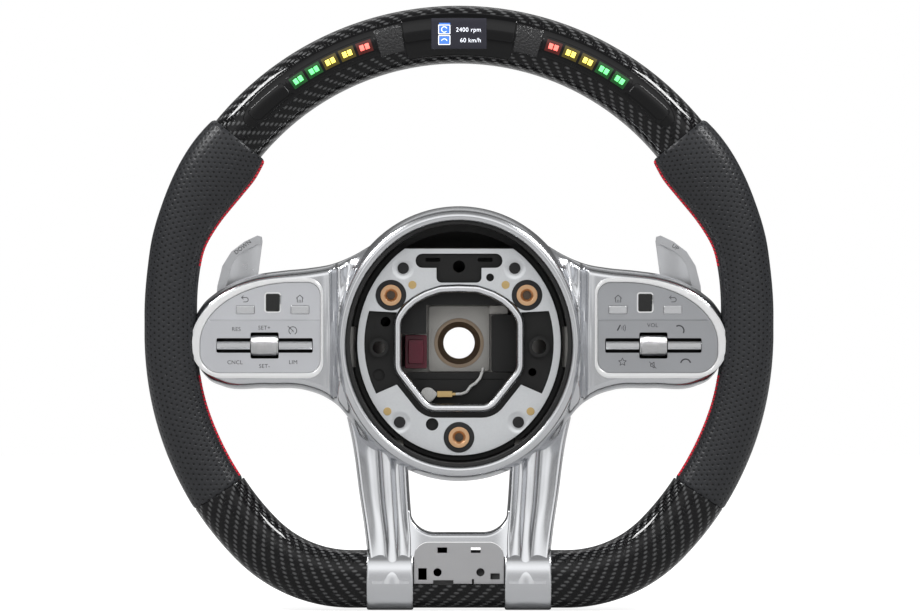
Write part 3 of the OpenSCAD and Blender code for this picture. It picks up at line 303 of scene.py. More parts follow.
class Graph:
    """A node tree with short calls for adding and joining nodes."""

    def __init__(self, tree: Tree) -> None:
        """Keeps the tree that the calls add to."""
        self.tree = tree

    @classmethod
    def blank(cls, owner: bpy.types.ID) -> "Graph":
        """Empties the node tree of a material or a world and returns its graph."""
        owner.use_nodes = True
        owner.node_tree.nodes.clear()
        return cls(owner.node_tree)

    def node(self, kind: str, **settings: object) -> Node:
        """Adds a shader node and sets its properties."""
        made = self.tree.nodes.new(f"ShaderNode{kind}")
        for key, value in settings.items():
            setattr(made, key, value)
        return made

    def feed(self, socket: Socket, value: object) -> None:
        """Joins a socket to another, or sets its own value; a colour is given without alpha."""
        if isinstance(value, Socket):
            self.tree.links.new(value, socket)
        else:
            socket.default_value = (*value, 1) if socket.type == "RGBA" else value

    def give(self, node: Node, **values: object) -> Node:
        """Feeds a node's inputs by name, with _ for a space, and returns the node."""
        for name, value in values.items():
            self.feed(node.inputs[name.replace("_", " ")], value)
        return node

    def math(self, operation: str, *values: object, clamp: bool = False) -> Socket:
        """Adds a Math node and returns its output."""
        made = self.node("Math", operation=operation, use_clamp=clamp)
        for socket, value in zip(made.inputs, values):
            self.feed(socket, value)
        return made.outputs[0]

    def plus(self, first: object, second: object, clamp: bool = False) -> Socket:
        """First plus second."""
        return self.math("ADD", first, second, clamp=clamp)

    def minus(self, first: object, second: object) -> Socket:
        """First less second."""
        return self.math("SUBTRACT", first, second)

    def times(self, first: object, second: object, clamp: bool = False) -> Socket:
        """First times second."""
        return self.math("MULTIPLY", first, second, clamp=clamp)

    def over(self, first: object, second: object) -> Socket:
        """First divided by second."""
        return self.math("DIVIDE", first, second)

    def blend(self, amount: object, first: object, second: object) -> Socket:
        """Mixes two colours by an amount and returns the colour."""
        made = self.node("Mix", data_type="RGBA")
        for name, value in (("Factor_Float", amount), ("A_Color", first), ("B_Color", second)):
            self.feed(next(s for s in made.inputs if s.identifier == name), value)
        return next(s for s in made.outputs if s.identifier == "Result_Color")

    def noise(self, vector: Socket, scale: object, detail: float = 2.0) -> Socket:
        """Adds a noise texture and returns its value."""
        made = self.give(self.node("TexNoise"), Vector=vector, Scale=scale, Detail=detail)
        return made.outputs["Fac"]

    def ramp(self, value: object, low: float, high: float, start: float = 0.0,
             end: float = 1.0) -> Socket:
        """Maps a value from low..high smoothly to start..end."""
        made = self.node("MapRange", interpolation_type="SMOOTHSTEP")
        for socket, item in zip(made.inputs, (value, low, high, start, end)):
            self.feed(socket, item)
        return made.outputs[0]

    def split(self, vector: Socket) -> bpy.types.NodeOutputs:
        """Returns the three parts of a vector."""
        return self.give(self.node("SeparateXYZ"), Vector=vector).outputs

    def group(self, tree: Tree, **values: object) -> bpy.types.NodeOutputs:
        """Places a shared group, feeds its named inputs and returns its outputs."""
        return self.give(self.node("Group", node_tree=tree), **values).outputs

    def bump(self, target: Node, height: object, depth: float) -> None:
        """Bends a node's normal by a height, with a depth in metres."""
        made = self.give(self.node("Bump"), Distance=depth, Strength=1.0, Height=height)
        self.give(target, Normal=made.outputs[0])


def shared(name: str, inputs: str, outputs: str) -> Callable:
    """Makes a function that fills a shader group into one that returns the group, built once.

    Args:
        name: Name of the group.
        inputs: Names of its inputs. Vector is a vector, and all others are numbers.
        outputs: Names of its outputs, all numbers.

    Returns:
        The decorator.
    """
    def wrap(fill: Callable[[Graph, dict, dict], None]) -> Callable[[], Tree]:
        """Wraps the function that adds the nodes between the inputs and the outputs."""
        def ready() -> Tree:
            """Returns the group, filled on its first use."""
            if name in bpy.data.node_groups:
                return bpy.data.node_groups[name]
            tree = bpy.data.node_groups.new(name, "ShaderNodeTree")
            for way, titles in (("INPUT", inputs), ("OUTPUT", outputs)):
                for title in titles.split():
                    kind = "NodeSocketVector" if title == "Vector" else "NodeSocketFloat"
                    tree.interface.new_socket(title, in_out=way, socket_type=kind)
            given = tree.nodes.new("NodeGroupInput").outputs
            fill(Graph(tree), given, tree.nodes.new("NodeGroupOutput").inputs)
            return tree
        return ready
    return wrap


@shared("twill_weave", "Vector Tow", "Lengthways Height Fibre")
def twill(g: Graph, given: dict, out: dict) -> None:
    """Two-over-two twill of flat tows, in surface coordinates.

    Cell (i, j) counts tows along and across. Its sum modulo four tells which tow lies on top,
    and how far that tow is through its float over two cells. Outputs: Lengthways mask, Height
    of the crowned tow, and Fibre streaks along it.
    """
    split = g.split(given["Vector"])
    u, v = (g.over(split[k], given["Tow"]) for k in (0, 1))
    cell = g.plus(g.math("FLOOR", u), g.math("FLOOR", v))
    phase = g.math("FLOORED_MODULO", cell, 4.0)
    along = g.math("LESS_THAN", phase, 1.5)
    fu, fv = g.math("FRACT", u), g.math("FRACT", v)
    run_u = g.times(g.plus(phase, fu), math.pi / 2)
    run_v = g.times(g.plus(g.minus(phase, 2.0), fv), math.pi / 2)

    def crown(across: Socket, run: Socket) -> Socket:
        """Half-round across the tow, times its rise and dip along the float."""
        round_off = g.math("POWER", g.math("SINE", g.times(across, math.pi)), 0.5)
        return g.times(round_off, g.math("MULTIPLY_ADD", g.math("SINE", run), 0.45, 0.55))

    def choose(first: Socket, second: Socket) -> Socket:
        """The first value where the lengthways tow is on top, else the second."""
        return g.plus(g.times(first, along), g.times(second, g.minus(1.0, along)))

    def streaks(*stretch: float) -> Socket:
        """Fine noise drawn out along one axis."""
        turn = g.give(g.node("Mapping"), Vector=given["Vector"], Scale=stretch)
        return g.noise(turn.outputs[0], FIBRE_SCALE, 3.0)

    g.feed(out["Height"], choose(crown(fv, run_u), crown(fu, run_v)))
    g.feed(out["Lengthways"], along)
    g.feed(out["Fibre"], choose(streaks(FIBRE_SHARE, 1.0, 1.0), streaks(1.0, FIBRE_SHARE, 1.0)))


@shared("punched_rows", "Vector Pitch Row Radius", "Hole Lip")
def punched(g: Graph, given: dict, out: dict) -> None:
    """Staggered rows of punched holes, in surface coordinates.

    Every second row is shifted by half a pitch. Output Hole is 1 in a hole and falls to 0 over
    its edge, and Lip is a soft ring round it.
    """
    split = g.split(given["Vector"])
    row = g.over(split[1], given["Row"])
    shift = g.times(g.math("FLOORED_MODULO", g.math("FLOOR", row), 2.0), 0.5)
    column = g.plus(g.over(split[0], given["Pitch"]), shift)
    du, dv = (g.times(g.minus(g.math("FRACT", cell), 0.5), given[size])
              for cell, size in ((column, "Pitch"), (row, "Row")))
    far = g.math("SQRT", g.plus(g.times(du, du), g.times(dv, dv)))
    share = g.over(far, given["Radius"])
    g.feed(out["Hole"], g.ramp(share, 0.85, 1.1, 1.0, 0.0))
    g.feed(out["Lip"], g.ramp(share, 0.9, 2.0, 1.0, 0.0))


@shared("pebble_grain", "Vector Scale", "Height Shade")
def pebble(g: Graph, given: dict, out: dict) -> None:
    """Grain of leather or moulded plastic: rounded cells broken up by noise.

    Outputs Height for a bump, and Shade, a painted shade that darkens the creases between the
    cells.
    """
    cells = g.give(g.node("TexVoronoi", feature="SMOOTH_F1"), Vector=given["Vector"],
                   Scale=given["Scale"], Smoothness=0.6).outputs["Distance"]
    fine = g.noise(given["Vector"], g.times(given["Scale"], 2.3))
    g.feed(out["Height"], g.plus(g.times(cells, -0.9), g.times(fine, 0.4)))
    # Painted shade: the share falls from 1 in the cells' middles to 0.72 in the creases.
    g.feed(out["Shade"], g.ramp(cells, 0.25, 0.8, 1.0, 0.72))


@shared("handling_sheen", "Vector Base Amount", "Roughness")
def handling(g: Graph, given: dict, out: dict) -> None:
    """Uneven sheen that handling leaves: large soft noise and finer smudges.

    Output Roughness is the base value raised or lowered by Amount.
    """
    broad = g.noise(given["Vector"], BROAD_SCALE, 3.0)
    fine = g.noise(given["Vector"], SMUDGE_SCALE, 4.0)
    swing = g.plus(g.minus(broad, 0.5), g.times(g.minus(fine, 0.5), 0.5))
    g.feed(out["Roughness"], g.plus(given["Base"], g.times(swing, given["Amount"])))


# ---------------------------------------------------------------- finishes


class Space(Enum):
    """Which coordinates a pattern follows."""

    OBJECT = "object"
    SURFACE = "surface"


@dataclass(frozen=True)
class Finish:
    """What every finish shares: its name, the record's slot, its colour and its sheen."""

    name: str
    slot: str
    colour: Colour = (0.5, 0.5, 0.5)
    roughness: float = 0.4
    space: Space = Space.OBJECT

    def material(self) -> bpy.types.Material:
        """Returns the material, made on its first use."""
        if self.name in bpy.data.materials:
            return bpy.data.materials[self.name]
        made = bpy.data.materials.new(self.name)
        graph = Graph.blank(made)
        shader = graph.give(graph.node("BsdfPrincipled"), Base_Color=self.colour,
                            Roughness=self.roughness)
        graph.give(graph.node("OutputMaterial"), Surface=shader.outputs[0])
        self.dress(graph, shader, self.coordinates(graph))
        return made

    def coordinates(self, graph: Graph) -> Socket:
        """Returns the coordinates in metres that the pattern follows."""
        if self.space is Space.SURFACE:
            return graph.node("UVMap", uv_map=SURFACE_UV).outputs[0]
        return graph.node("TexCoord").outputs["Object"]

    def dress(self, graph: Graph, shader: Node, at: Socket) -> None:
        """Adds what makes this finish its own. Each kind of finish has its own way."""

    def dulled(self, share: float) -> Colour:
        """Returns a share of the colour."""
        return tuple(c * share for c in self.colour)

    def sheen(self, graph: Graph, shader: Node, at: Socket, amount: float) -> None:
        """Lets the sheen vary by an amount, as handling leaves it."""
        graph.give(shader, Roughness=graph.group(
            handling(), Vector=at, Base=self.roughness, Amount=amount)[0])


@dataclass(frozen=True)
class Carbon(Finish):
    """Woven tows under clear lacquer."""

    tow: float = 2.1 * MM
    dark: Colour = (0.003, 0.003, 0.0035)
    relief: float = 0.35 * MM
    space: Space = Space.SURFACE

    def dress(self, graph: Graph, shader: Node, at: Socket) -> None:
        """Light and dark tows, with painted shade that darkens the light tows where they face
        ahead, and a mirror-like coat.
        """
        weave = graph.group(twill(), Vector=at, Tow=self.tow)
        light = graph.times(weave["Lengthways"],
                            graph.math("MULTIPLY_ADD", weave["Fibre"], 0.9, 0.45))
        light = graph.times(light, graph.ramp(weave["Height"], 0.55, 1.0, 0.02, 1.0))
        # Painted shade: the light tows lose colour and metal where the surface faces ahead (-Y),
        # and keep them where it turns away.
        ahead = graph.times(graph.split(graph.node("TexCoord").outputs["Normal"])[1], -1.0)
        light = graph.times(light, graph.ramp(ahead, 0.3, 0.8, 1.0, 0.3))
        graph.give(shader, Base_Color=graph.blend(light, self.dark, self.colour),
                   Metallic=graph.times(light, 1.0, clamp=True), Specular_IOR_Level=0.05,
                   Coat_Weight=1.0, Coat_Roughness=0.02, Coat_IOR=1.3)
        graph.bump(shader, weave["Height"], self.relief)


@dataclass(frozen=True)
class Leather(Finish):
    """Grained leather with punched holes."""

    pitch: float = 3.7 * MM
    row: float = 2.9 * MM
    hole: float = 0.64 * MM
    # Near-black of the punched holes: the dark core below, with painted shade in the holes.
    core_and_hole_shade: Colour = (0.002, 0.002, 0.002)
    relief: float = 0.22 * MM
    grain: float = 1500.0
    space: Space = Space.SURFACE

    def dress(self, graph: Graph, shader: Node, at: Socket) -> None:
        """Fine pebble grain with painted shade in its creases, a soft sheen, and rows of holes with
        raised lips, painted near-black for the dark core below and the shade in them.
        """
        grain = graph.group(pebble(), Vector=at, Scale=self.grain)
        rows = graph.group(punched(), Vector=at, Pitch=self.pitch, Row=self.row,
                           Radius=self.hole)
        # Painted shade: the colour darkens in the grain's creases.
        body = graph.blend(grain["Shade"], self.dulled(0.55), self.colour)
        # The holes are painted near-black: the dark core below and painted shade inside them.
        graph.give(shader, Base_Color=graph.blend(rows["Hole"], body, self.core_and_hole_shade),
                   Specular_IOR_Level=0.3)
        self.sheen(graph, shader, at, 0.16)
        height = graph.minus(graph.times(grain["Height"], 0.22), graph.times(rows["Hole"], 1.8))
        graph.bump(shader, graph.minus(height, graph.times(rows["Lip"], 0.5)), self.relief)


@dataclass(frozen=True)
class Metal(Finish):
    """Satin, plated or cast metal, with a fine texture and an uneven sheen."""

    texture: float = 2600.0
    depth: float = 0.012 * MM
    uneven: float = 0.12
    shade: float = 0.12
    cloud: float = 70.0
    ribs: float = 0.0

    def dress(self, graph: Graph, shader: Node, at: Socket) -> None:
        """Breaks up the colour and the sheen by noise, with a fine bump and, where asked, ribs."""
        grain, cloud = (graph.noise(at, scale, 3.0) for scale in (self.texture, self.cloud))
        mix = graph.times(graph.plus(grain, cloud), 0.5)
        graph.give(shader, Metallic=1.0,
                   Base_Color=graph.blend(mix, self.dulled(1 - self.shade), self.colour))
        self.sheen(graph, shader, at, self.uneven)
        if self.ribs:
            turn = graph.times(graph.split(at)[0], 2 * math.pi / self.ribs)
            grain = graph.math("MULTIPLY_ADD", graph.math("SINE", turn), 0.5, grain)
        graph.bump(shader, grain, self.depth)


@dataclass(frozen=True)
class Pressed(Metal):
    """Plated sheet with a shallow round dimple pressed round each listed place."""

    places: Curve = ()
    reach: Pair = (3.9, 7.0)
    sunk: float = 0.45 * MM

    def dress(self, graph: Graph, shader: Node, at: Socket) -> None:
        """Raises the height from inner to outer reach round each place, under the plating."""
        super().dress(graph, shader, at)
        plating = shader.inputs["Normal"].links[0].from_node
        flat = graph.node("VectorMath", operation="MULTIPLY")
        graph.feed(flat.inputs[0], at)
        graph.feed(flat.inputs[1], (1, 0, 1))
        near = 1.0
        for x, z in self.places:
            away = graph.node("VectorMath", operation="DISTANCE")
            graph.feed(away.inputs[0], flat.outputs[0])
            graph.feed(away.inputs[1], (x * MM, 0, z * MM))
            wall = graph.ramp(away.outputs["Value"], *(r * MM for r in self.reach))
            near = graph.math("MINIMUM", near, wall)
        graph.bump(plating, near, self.sunk)


@dataclass(frozen=True)
class Plastic(Finish):
    """Moulded plastic or rubber, grained or glossy."""

    grain: float = 1800.0
    depth: float = 0.03 * MM
    specular: float = 0.5

    def dress(self, graph: Graph, shader: Node, at: Socket) -> None:
        """A pebble grain with painted shade in its creases, and smudges in the sheen."""
        grain = graph.group(pebble(), Vector=at, Scale=self.grain)
        # Painted shade: the colour darkens in the creases between the grain's cells.
        graph.give(shader, Specular_IOR_Level=self.specular,
                   Base_Color=graph.blend(grain["Shade"], self.dulled(0.6), self.colour))
        self.sheen(graph, shader, at, 0.1)
        graph.bump(shader, grain["Height"], self.depth)


@dataclass(frozen=True)
class Lit(Finish):
    """A lit segment: its colour glows, a little unevenly."""

    strength: float = 1.0

    def dress(self, graph: Graph, shader: Node, at: Socket) -> None:
        """Feeds the colour to the emission, varied by a soft noise."""
        cloud = graph.ramp(graph.noise(at, 900.0), 0.2, 0.8, 0.75, 1.0)
        graph.give(shader, Emission_Strength=self.strength,
                   Emission_Color=graph.blend(cloud, self.dulled(0.6), self.colour))


FINE = 0.0012 * MM
CARBON = Carbon("lacquered_twill", "carbon", (0.34, 0.345, 0.35), 0.24)
LEATHER = Leather("punched_leather", "grip_leather", (0.026, 0.027, 0.030), 0.36)
SILVER = Metal("satin_trim", "satin_silver", (0.64, 0.65, 0.67), 0.22, shade=0.05, uneven=0.035,
               depth=FINE)
BEZEL = Metal("bright_bezel", "bezel_silver", (0.93, 0.935, 0.94), 0.4, shade=0.04, uneven=0.03,
              depth=FINE)
# Lit and shaded copies of one switch finish: the right plates are painted darker, the left ones
# painted lighter.
PLATE_RIGHT_SHADED = Metal("switch_painted_shade", "switch_silver", (0.44, 0.45, 0.47), 0.34, shade=0.08)
PLATE_LEFT_LIT = Metal("switch_painted_light", "switch_silver", (0.66, 0.67, 0.70), 0.36, shade=0.06)
KEY = Metal("key_satin", "key_chrome", (0.82, 0.83, 0.85), 0.2, uneven=0.06)
ROLLER = Metal("roller_satin", "roller_silver", (0.66, 0.66, 0.67), 0.24, depth=0.2 * MM,
               ribs=0.9 * MM)
PADDLE = Metal("paddle_satin", "paddle_silver", (0.62, 0.63, 0.65), 0.3)
BADGE = Metal("plate_satin", "plate_grey", (0.50, 0.50, 0.51), 0.4)
ZINC = Pressed("zinc_plate", "zinc_steel", (0.80, 0.82, 0.84), 0.36, texture=900.0, shade=0.16,
               places=((-33, 44.6), (33, 44.6), (-35.1, -46.6), (35.1, -46.6)))
BRIGHT_ZINC = Metal("rolled_bead", "zinc_steel", (0.78, 0.79, 0.81), 0.24, texture=900.0,
                    shade=0.1)
CAST = Metal("cast_boss", "cast_metal", (0.44, 0.43, 0.41), 0.42, depth=0.08 * MM, shade=0.25)
BORE = Metal("oiled_steel", "bore_steel", (0.46, 0.36, 0.27), 0.5, shade=0.45)
COPPER = Metal("copper_bush", "copper_bush", (0.80, 0.46, 0.24), 0.28, shade=0.2)
CONTACT = Metal("brass_contact", "contact_brass", (0.72, 0.52, 0.24), 0.34, shade=0.2)
DARK_STEEL = Metal("black_steel", "dark_steel", (0.10, 0.10, 0.11), 0.35)
GLOSS = Plastic("piano_black", "gloss_black", (0.002, 0.002, 0.0024), 0.06, grain=600.0,
                depth=0.002 * MM, specular=0.3)
HUB_BLACK = Plastic("hub_black", "hub_black", (0.010, 0.010, 0.011), 0.34)
COVER = Plastic("cover_black", "cover_black", (0.018, 0.018, 0.019), 0.48, grain=2200.0)
RUBBER = Plastic("buffer_rubber", "sleeve_rubber", (0.012, 0.012, 0.013), 0.55)
MAROON = Plastic("maroon_block", "maroon_plastic", (0.13, 0.004, 0.022), 0.3)
WHITE = Plastic("white_sleeve", "white_plastic", (0.90, 0.90, 0.88), 0.4)
PAD = Plastic("pad_black", "pad_black", (0.002, 0.002, 0.002), 0.12, depth=0.004 * MM,
              specular=0.25)
GRAINED = Plastic("grained_panel", "grained_black", (0.008, 0.008, 0.009), 0.22, grain=700.0,
                  depth=0.6 * MM, specular=0.6)
THREAD = Plastic("red_thread", "grip_leather", (0.78, 0.004, 0.03), 0.5, grain=5000.0)
FOAM = Plastic("core_foam", "core_foam", (0.03, 0.03, 0.03), 0.8)
INK = Plastic("legend_grey", "switch_silver", (0.055, 0.055, 0.06), 0.5)


class Light(Enum):
    """Colours of the shift lights, from the middle outwards."""

    RED = (1.0, 0.05, 0.02)
    AMBER = (1.0, 0.72, 0.02)
    GREEN = (0.03, 0.95, 0.12)


# ---------------------------------------------------------------- the rim


@dataclass(frozen=True)
class RimPath:
    """Outer edge and section of the rim: arcs and straights, as in the CAD.

    Frames along it are the outer point and the outward normal at each station, and the length
    so far.
    """

    radius: float = 185.0
    rise: float = 14.0
    side: float = 10.7
    corner: float = 95.5
    ahead: float = 62.0
    width: float = 34.0
    depth: float = 31.0

    @property
    def low(self) -> float:
        """Height of the centre of the lower side arcs."""
        return self.rise - self.side

    @property
    def corner_centre(self) -> Pair:
        """Centre of the right lower corner."""
        slant = (self.radius - self.corner) * math.cos(math.radians(45))
        return slant, self.low - slant

    @property
    def floor(self) -> float:
        """Height of the flat bottom's outer edge."""
        return self.corner_centre[1] - self.corner

    @staticmethod
    def bend(centre: Pair, radius: float, start: float, end: float, steps: int) -> Frames:
        """Frames along an arc between two angles in degrees."""
        angle, normal = compass(start, end, steps)
        return np.array(centre) + radius * normal, normal, np.abs(angle - angle[0]) * radius

    def level(self, start: float, end: float, steps: int) -> Frames:
        """Frames along the flat bottom, from one x to another."""
        t = np.linspace(0, 1, steps)
        edge = np.stack([start + (end - start) * t, np.full(steps, self.floor)], 1)
        return edge, np.tile((0.0, -1.0), (steps, 1)), t * abs(end - start)

    @staticmethod
    def chain(*parts: Frames) -> Frames:
        """Joins stretches end to end, leaving out each repeated first point."""
        edge, normal, run = parts[0]
        for next_edge, next_normal, next_run in parts[1:]:
            edge = np.vstack([edge, next_edge[1:]])
            normal = np.vstack([normal, next_normal[1:]])
            run = np.r_[run, run[-1] + next_run[1:]]
        return edge, normal, run

    def swept(self, frames: Frames, section: Array) -> Array:
        """Carries a section along: outer point + normal * across, and forward along -Y."""
        edge, normal, _ = frames
        flat = edge[:, None] + normal[:, None] * section[..., :1]
        return np.stack([flat[..., 0], -self.ahead - section[..., 1], flat[..., 1]], -1)

    def piece(self, name: str, frames: Frames, section: Array, finish: Finish, edge: float,
              side: int = 1, **more: object) -> Object:
        """Makes a piece that carries a section along the rim.

        Args:
            name: Name of the piece.
            frames: Stations along the rim, for the right side.
            section: Section at each station, as rows of (across, forward).
            finish: The finish it wears.
            edge: Radius of the rounded edge at both ends.
            side: 1 as given, -1 mirrored to the left.
            **more: What else build() takes.

        Returns:
            The piece.
        """
        grid, uv = self.swept(frames, section), section_uv(frames[2], section)
        first, last = cap(grid[0], grid[1], edge), cap(grid[-1], grid[-2], edge)
        grid = np.concatenate([first[::-1], grid, last])
        uv = np.concatenate([uv[:1].repeat(len(first), 0), uv, uv[-1:].repeat(len(last), 0)])
        return build(name, mirrored(grid, side), finish,
                     uv=uv if finish.space is Space.SURFACE else None, **more)


SQUARENESS = 0.86
CAP_TURNS = (30, 60, 90)
CAP_SHARES = (0.5, 0.998)


def rim_section(width: Array, depth: Array, around: Array) -> Array:
    """Superellipse that hangs inward from the rim's outer edge.

    In across = -w/2 + w/2 sign(cos) |cos|^power, and forward = d/2 sign(sin) |sin|^power. A
    power of 1 gives an ellipse, less a squarer section.

    Args:
        width: Width at each station.
        depth: Depth at each station.
        around: Angles round the section in radians; 0 is the outer edge, a quarter turn the front.

    Returns:
        Array of stations by angles by (across, forward).
    """
    c, s = np.cos(around), np.sin(around)
    half, deep = width[:, None] / 2, depth[:, None] / 2
    across = -half + half * np.sign(c) * np.abs(c) ** SQUARENESS
    return np.stack([across, deep * np.sign(s) * np.abs(s) ** SQUARENESS], -1)


def section_uv(run: Array, section: Array) -> Array:
    """Surface coordinates in metres: length along the path, and girth round the section."""
    steps = np.linalg.norm(np.diff(section, axis=1), axis=-1)
    girth = np.concatenate([np.zeros((len(section), 1)), np.cumsum(steps, 1)], 1)
    front = section.shape[1] // 4
    girth -= girth[:, front:front + 1]
    return np.stack([np.broadcast_to(run[:, None], girth.shape), girth], -1) * MM


def cap(ring: Array, inner: Array, edge: float) -> Array:
    """Rings that turn in from a tube's last ring over a small rounded edge to a flat cap."""
    middle = ring.mean(0)
    way = unit(ring - inner)
    reach = np.linalg.norm(ring - middle, axis=1, keepdims=True)
    rings = []
    for out in map(math.radians, CAP_TURNS):
        pull = edge * (1 - math.cos(out)) / reach
        rings.append(ring + (middle - ring) * pull + way * edge * math.sin(out))
    top = rings[-1]
    return np.stack(rings + [top + (top.mean(0) - top) * share for share in CAP_SHARES])


@dataclass
class CarbonRim:
    """The lacquered carbon stretches of the rim."""

    path: RimPath
    top_joint: float = 39.3
    low_joint: float = 33.0
    gap: float = 0.12
    cuff_mid: float = 40.5
    badge_low: float = -141.2
    ledge_ahead: float = 2.0
    tube_edge: float = 0.5
    bottom_edge: float = 0.3

    def build(self) -> None:
        """Makes the top, both lower corners and the bottom."""
        p, start = self.path, self.top_joint + self.gap
        self.tube("top", p.bend((0.0, p.rise), p.radius, start, 180 - start, 260), "carbon_top")
        centre = p.corner_centre
        lower = p.chain(
            p.bend((0.0, p.low), p.radius, -self.low_joint - self.gap, -45, 40),
            p.bend(centre, p.corner, -45, -90, 60),
            p.level(centre[0], self.cuff_mid, 20))
        for side, word in SIDES:
            self.tube(f"lower_{word}", lower, "carbon_lowers", side)
        self.bottom()

    def tube(self, name: str, frames: Frames, node: str, side: int = 1) -> None:
        """Sweeps the carbon section along frames."""
        size = (np.full(len(frames[0]), length) for length in (self.path.width, self.path.depth))
        section = rim_section(*size, np.linspace(0, 2 * np.pi, 97))
        self.path.piece(f"rim_carbon_{name}", frames, section, CARBON, self.tube_edge, side,
                        nodes=(node,), crease=50)

    def bottom(self) -> None:
        """The bottom stretch, cut back in front to take the badge plate."""
        p = self.path
        frames = p.level(self.cuff_mid, -self.cuff_mid, 60)
        around = np.linspace(0, 2 * np.pi, 361)[:-1]
        one = rim_section(np.array([p.width]), np.array([p.depth]), around)[0]
        ledge = p.floor - self.badge_low
        keep = (one[:, 0] > ledge) | (one[:, 1] < self.ledge_ahead)
        first = int(np.argmax(keep & ~np.roll(keep, 1)))
        loop = np.roll(one, -first, 0)[np.roll(keep, -first)]
        step = [[ledge, self.ledge_ahead], [loop[0, 0], self.ledge_ahead]]
        loop = np.vstack([loop, step, loop[:1]])
        section = np.broadcast_to(loop, (len(frames[0]), *loop.shape))
        p.piece("rim_carbon_bottom", frames, section, CARBON, self.bottom_edge,
                nodes=("carbon_bottom",))


@dataclass
class LeatherGrip:
    """One leather grip with its seam and its red stitches."""

    path: RimPath
    side: int
    word: str
    top_joint: float = 39.15
    low_joint: float = 32.85
    width: Curve = (
        (-33, 33.6), (-22, 32.4), (-14, 31.4), (0, 31), (12, 31), (16, 32), (20, 34.4),
        (23, 36.6), (26, 39), (30, 41.5), (35, 42.3), (38, 40.3), (41, 37))
    lean: Curve = (
        (-33, 0.3), (-20, 0), (0, 0.2), (10, 1), (15, 2.1), (20, 2.6), (36, 2.9), (41, 1))
    depth: Curve = ((-33, 32), (0, 32), (20, 33), (35, 35), (41, 32.5))
    tuck_reach: float = 0.6
    tuck: float = 0.035
    end_edge: float = 0.9
    seam_at: float = 166.0
    seam_dip: float = 0.5
    seam_spread: float = 0.03
    seam_fine: Pair = (0.045, 0.06)
    half_girth: float = 15.0
    seam_radius: float = 15.5
    seam_in: float = 32.0
    stitch_pitch: float = 2.3
    stitch_half: float = 1.5
    stitch_slant: float = 0.62
    thread: float = 0.62
    thread_lift: float = 0.25
    thread_taper: float = 0.02
    thread_lean: Pair = (0.85, 0.5)
    stitch_runs: Curve = ((-32.0, -8.6), (11.8, 38.6))

    @property
    def seam(self) -> float:
        """Angle of the seam round the section, in radians."""
        return np.radians(self.seam_at)

    def surface(self, angle: Array, around: Array) -> tuple[Frames, Array]:
        """Frames and sections at polar angles of the rim and angles round the section.

        The station's outer point is its arc's centre plus (radius + lean) times the unit
        normal; the section is the superellipse of that station's width and depth, tucked in
        at both ends and dipped along the seam.
        """
        width, depth, lean = (smooth_curve(angle, c) for c in (self.width, self.depth, self.lean))
        turn = np.radians(angle)
        normal = np.stack([np.cos(turn), np.sin(turn)], 1)
        middle = np.where(angle > 0, self.path.rise, self.path.low)
        edge = np.stack([np.zeros_like(angle), middle], 1)
        edge = edge + normal * (self.path.radius + lean)[:, None]
        section = rim_section(width, depth, around)
        reach = self.tuck_reach
        ends = np.abs(angle - np.clip(angle, -self.low_joint + reach, self.top_joint - reach))
        tuck = 1 - self.tuck * (ends / reach) ** 2
        centre = np.stack([-width / 2, np.zeros_like(width)], 1)[:, None]
        section = centre + (section - centre) * tuck[:, None, None]
        dip = self.seam_dip * np.exp(-((around - self.seam) / self.seam_spread) ** 2)
        section = section + (centre - section) * (dip / self.half_girth)[None, :, None]
        run = np.r_[0, np.cumsum(np.linalg.norm(np.diff(edge, axis=0), axis=1))]
        return (edge, normal, run), section

    def build(self) -> None:
        """Makes the grip and its stitches."""
        level, (fine, clear) = 1e-6, self.seam_fine
        angle = np.r_[np.linspace(-self.low_joint, -level, 110),
                      np.linspace(level, self.top_joint, 130)]
        around = np.r_[np.linspace(0, self.seam - clear, 52),
                       self.seam + np.linspace(-fine, fine, 9),
                       np.linspace(self.seam + clear, 2 * np.pi, 58)]
        self.path.piece(f"grip_leather_{self.word}", *self.surface(angle, around), LEATHER,
                        self.end_edge, self.side, nodes=("leather_grips",), crease=60)
        self.stitches()

    def stitches(self) -> None:
        """Slanting stitches over the seam, each a short bowed tube.

        A stitch runs from one side of the seam to the other while it moves part of a pitch
        along. Its middle line lies on the leather.
        """
        inner = self.path.radius - self.seam_in
        pitch = math.degrees(self.stitch_pitch / inner)
        slant = math.degrees(self.stitch_pitch * self.stitch_slant / inner)
        start = np.concatenate([np.arange(low, high, pitch) for low, high in self.stitch_runs])
        t = np.linspace(0, 1, 7)
        angle = start[:, None] + slant * t
        own = np.arange(len(t))
        for way, tag in ((-1, "b"), (1, "a")):
            swing = self.seam + way * (2 * t - 1) * self.stitch_half / self.seam_radius
            grid = self.path.swept(*self.surface(angle.ravel(), swing))
            self.sew(grid.reshape(*angle.shape, len(t), 3)[:, own, own], t, tag)

    def sew(self, line: Array, t: Array, tag: str) -> None:
        """Puts a tapering ring of points round each stitch's middle line, lifted by half a sine."""
        ahead = unit(np.gradient(line, axis=1))
        radial = unit(line.mean(1, keepdims=True) * (1, 0, 1))
        inner, front = self.thread_lean
        inward = -radial * inner + np.array([0, -front, 0])
        up = unit(inward - (inward * ahead).sum(-1, keepdims=True) * ahead)
        across = np.cross(ahead, up)
        around = np.linspace(0, 2 * np.pi, 7)
        size = self.thread * np.sqrt(np.clip(1 - (2 * t - 1) ** 4, self.thread_taper, 1))[:, None]
        centre = line + up * (self.thread_lift * np.sin(np.pi * t))[:, None]
        grid = (centre[:, :, None] + up[:, :, None] * (size * np.cos(around))[..., None]
                + across[:, :, None] * (size * np.sin(around))[..., None])
        count, rows, cols = grid.shape[:3]
        first = (np.arange(count) * rows * cols)[:, None, None]
        quads = (grid_quads(rows, cols)[None] + first).reshape(-1, 4)
        build(f"grip_stitches_{self.word}_{tag}", mirrored(grid, self.side), THREAD, quads,
              crease=80)


# ---------------------------------------------------------------- display strip


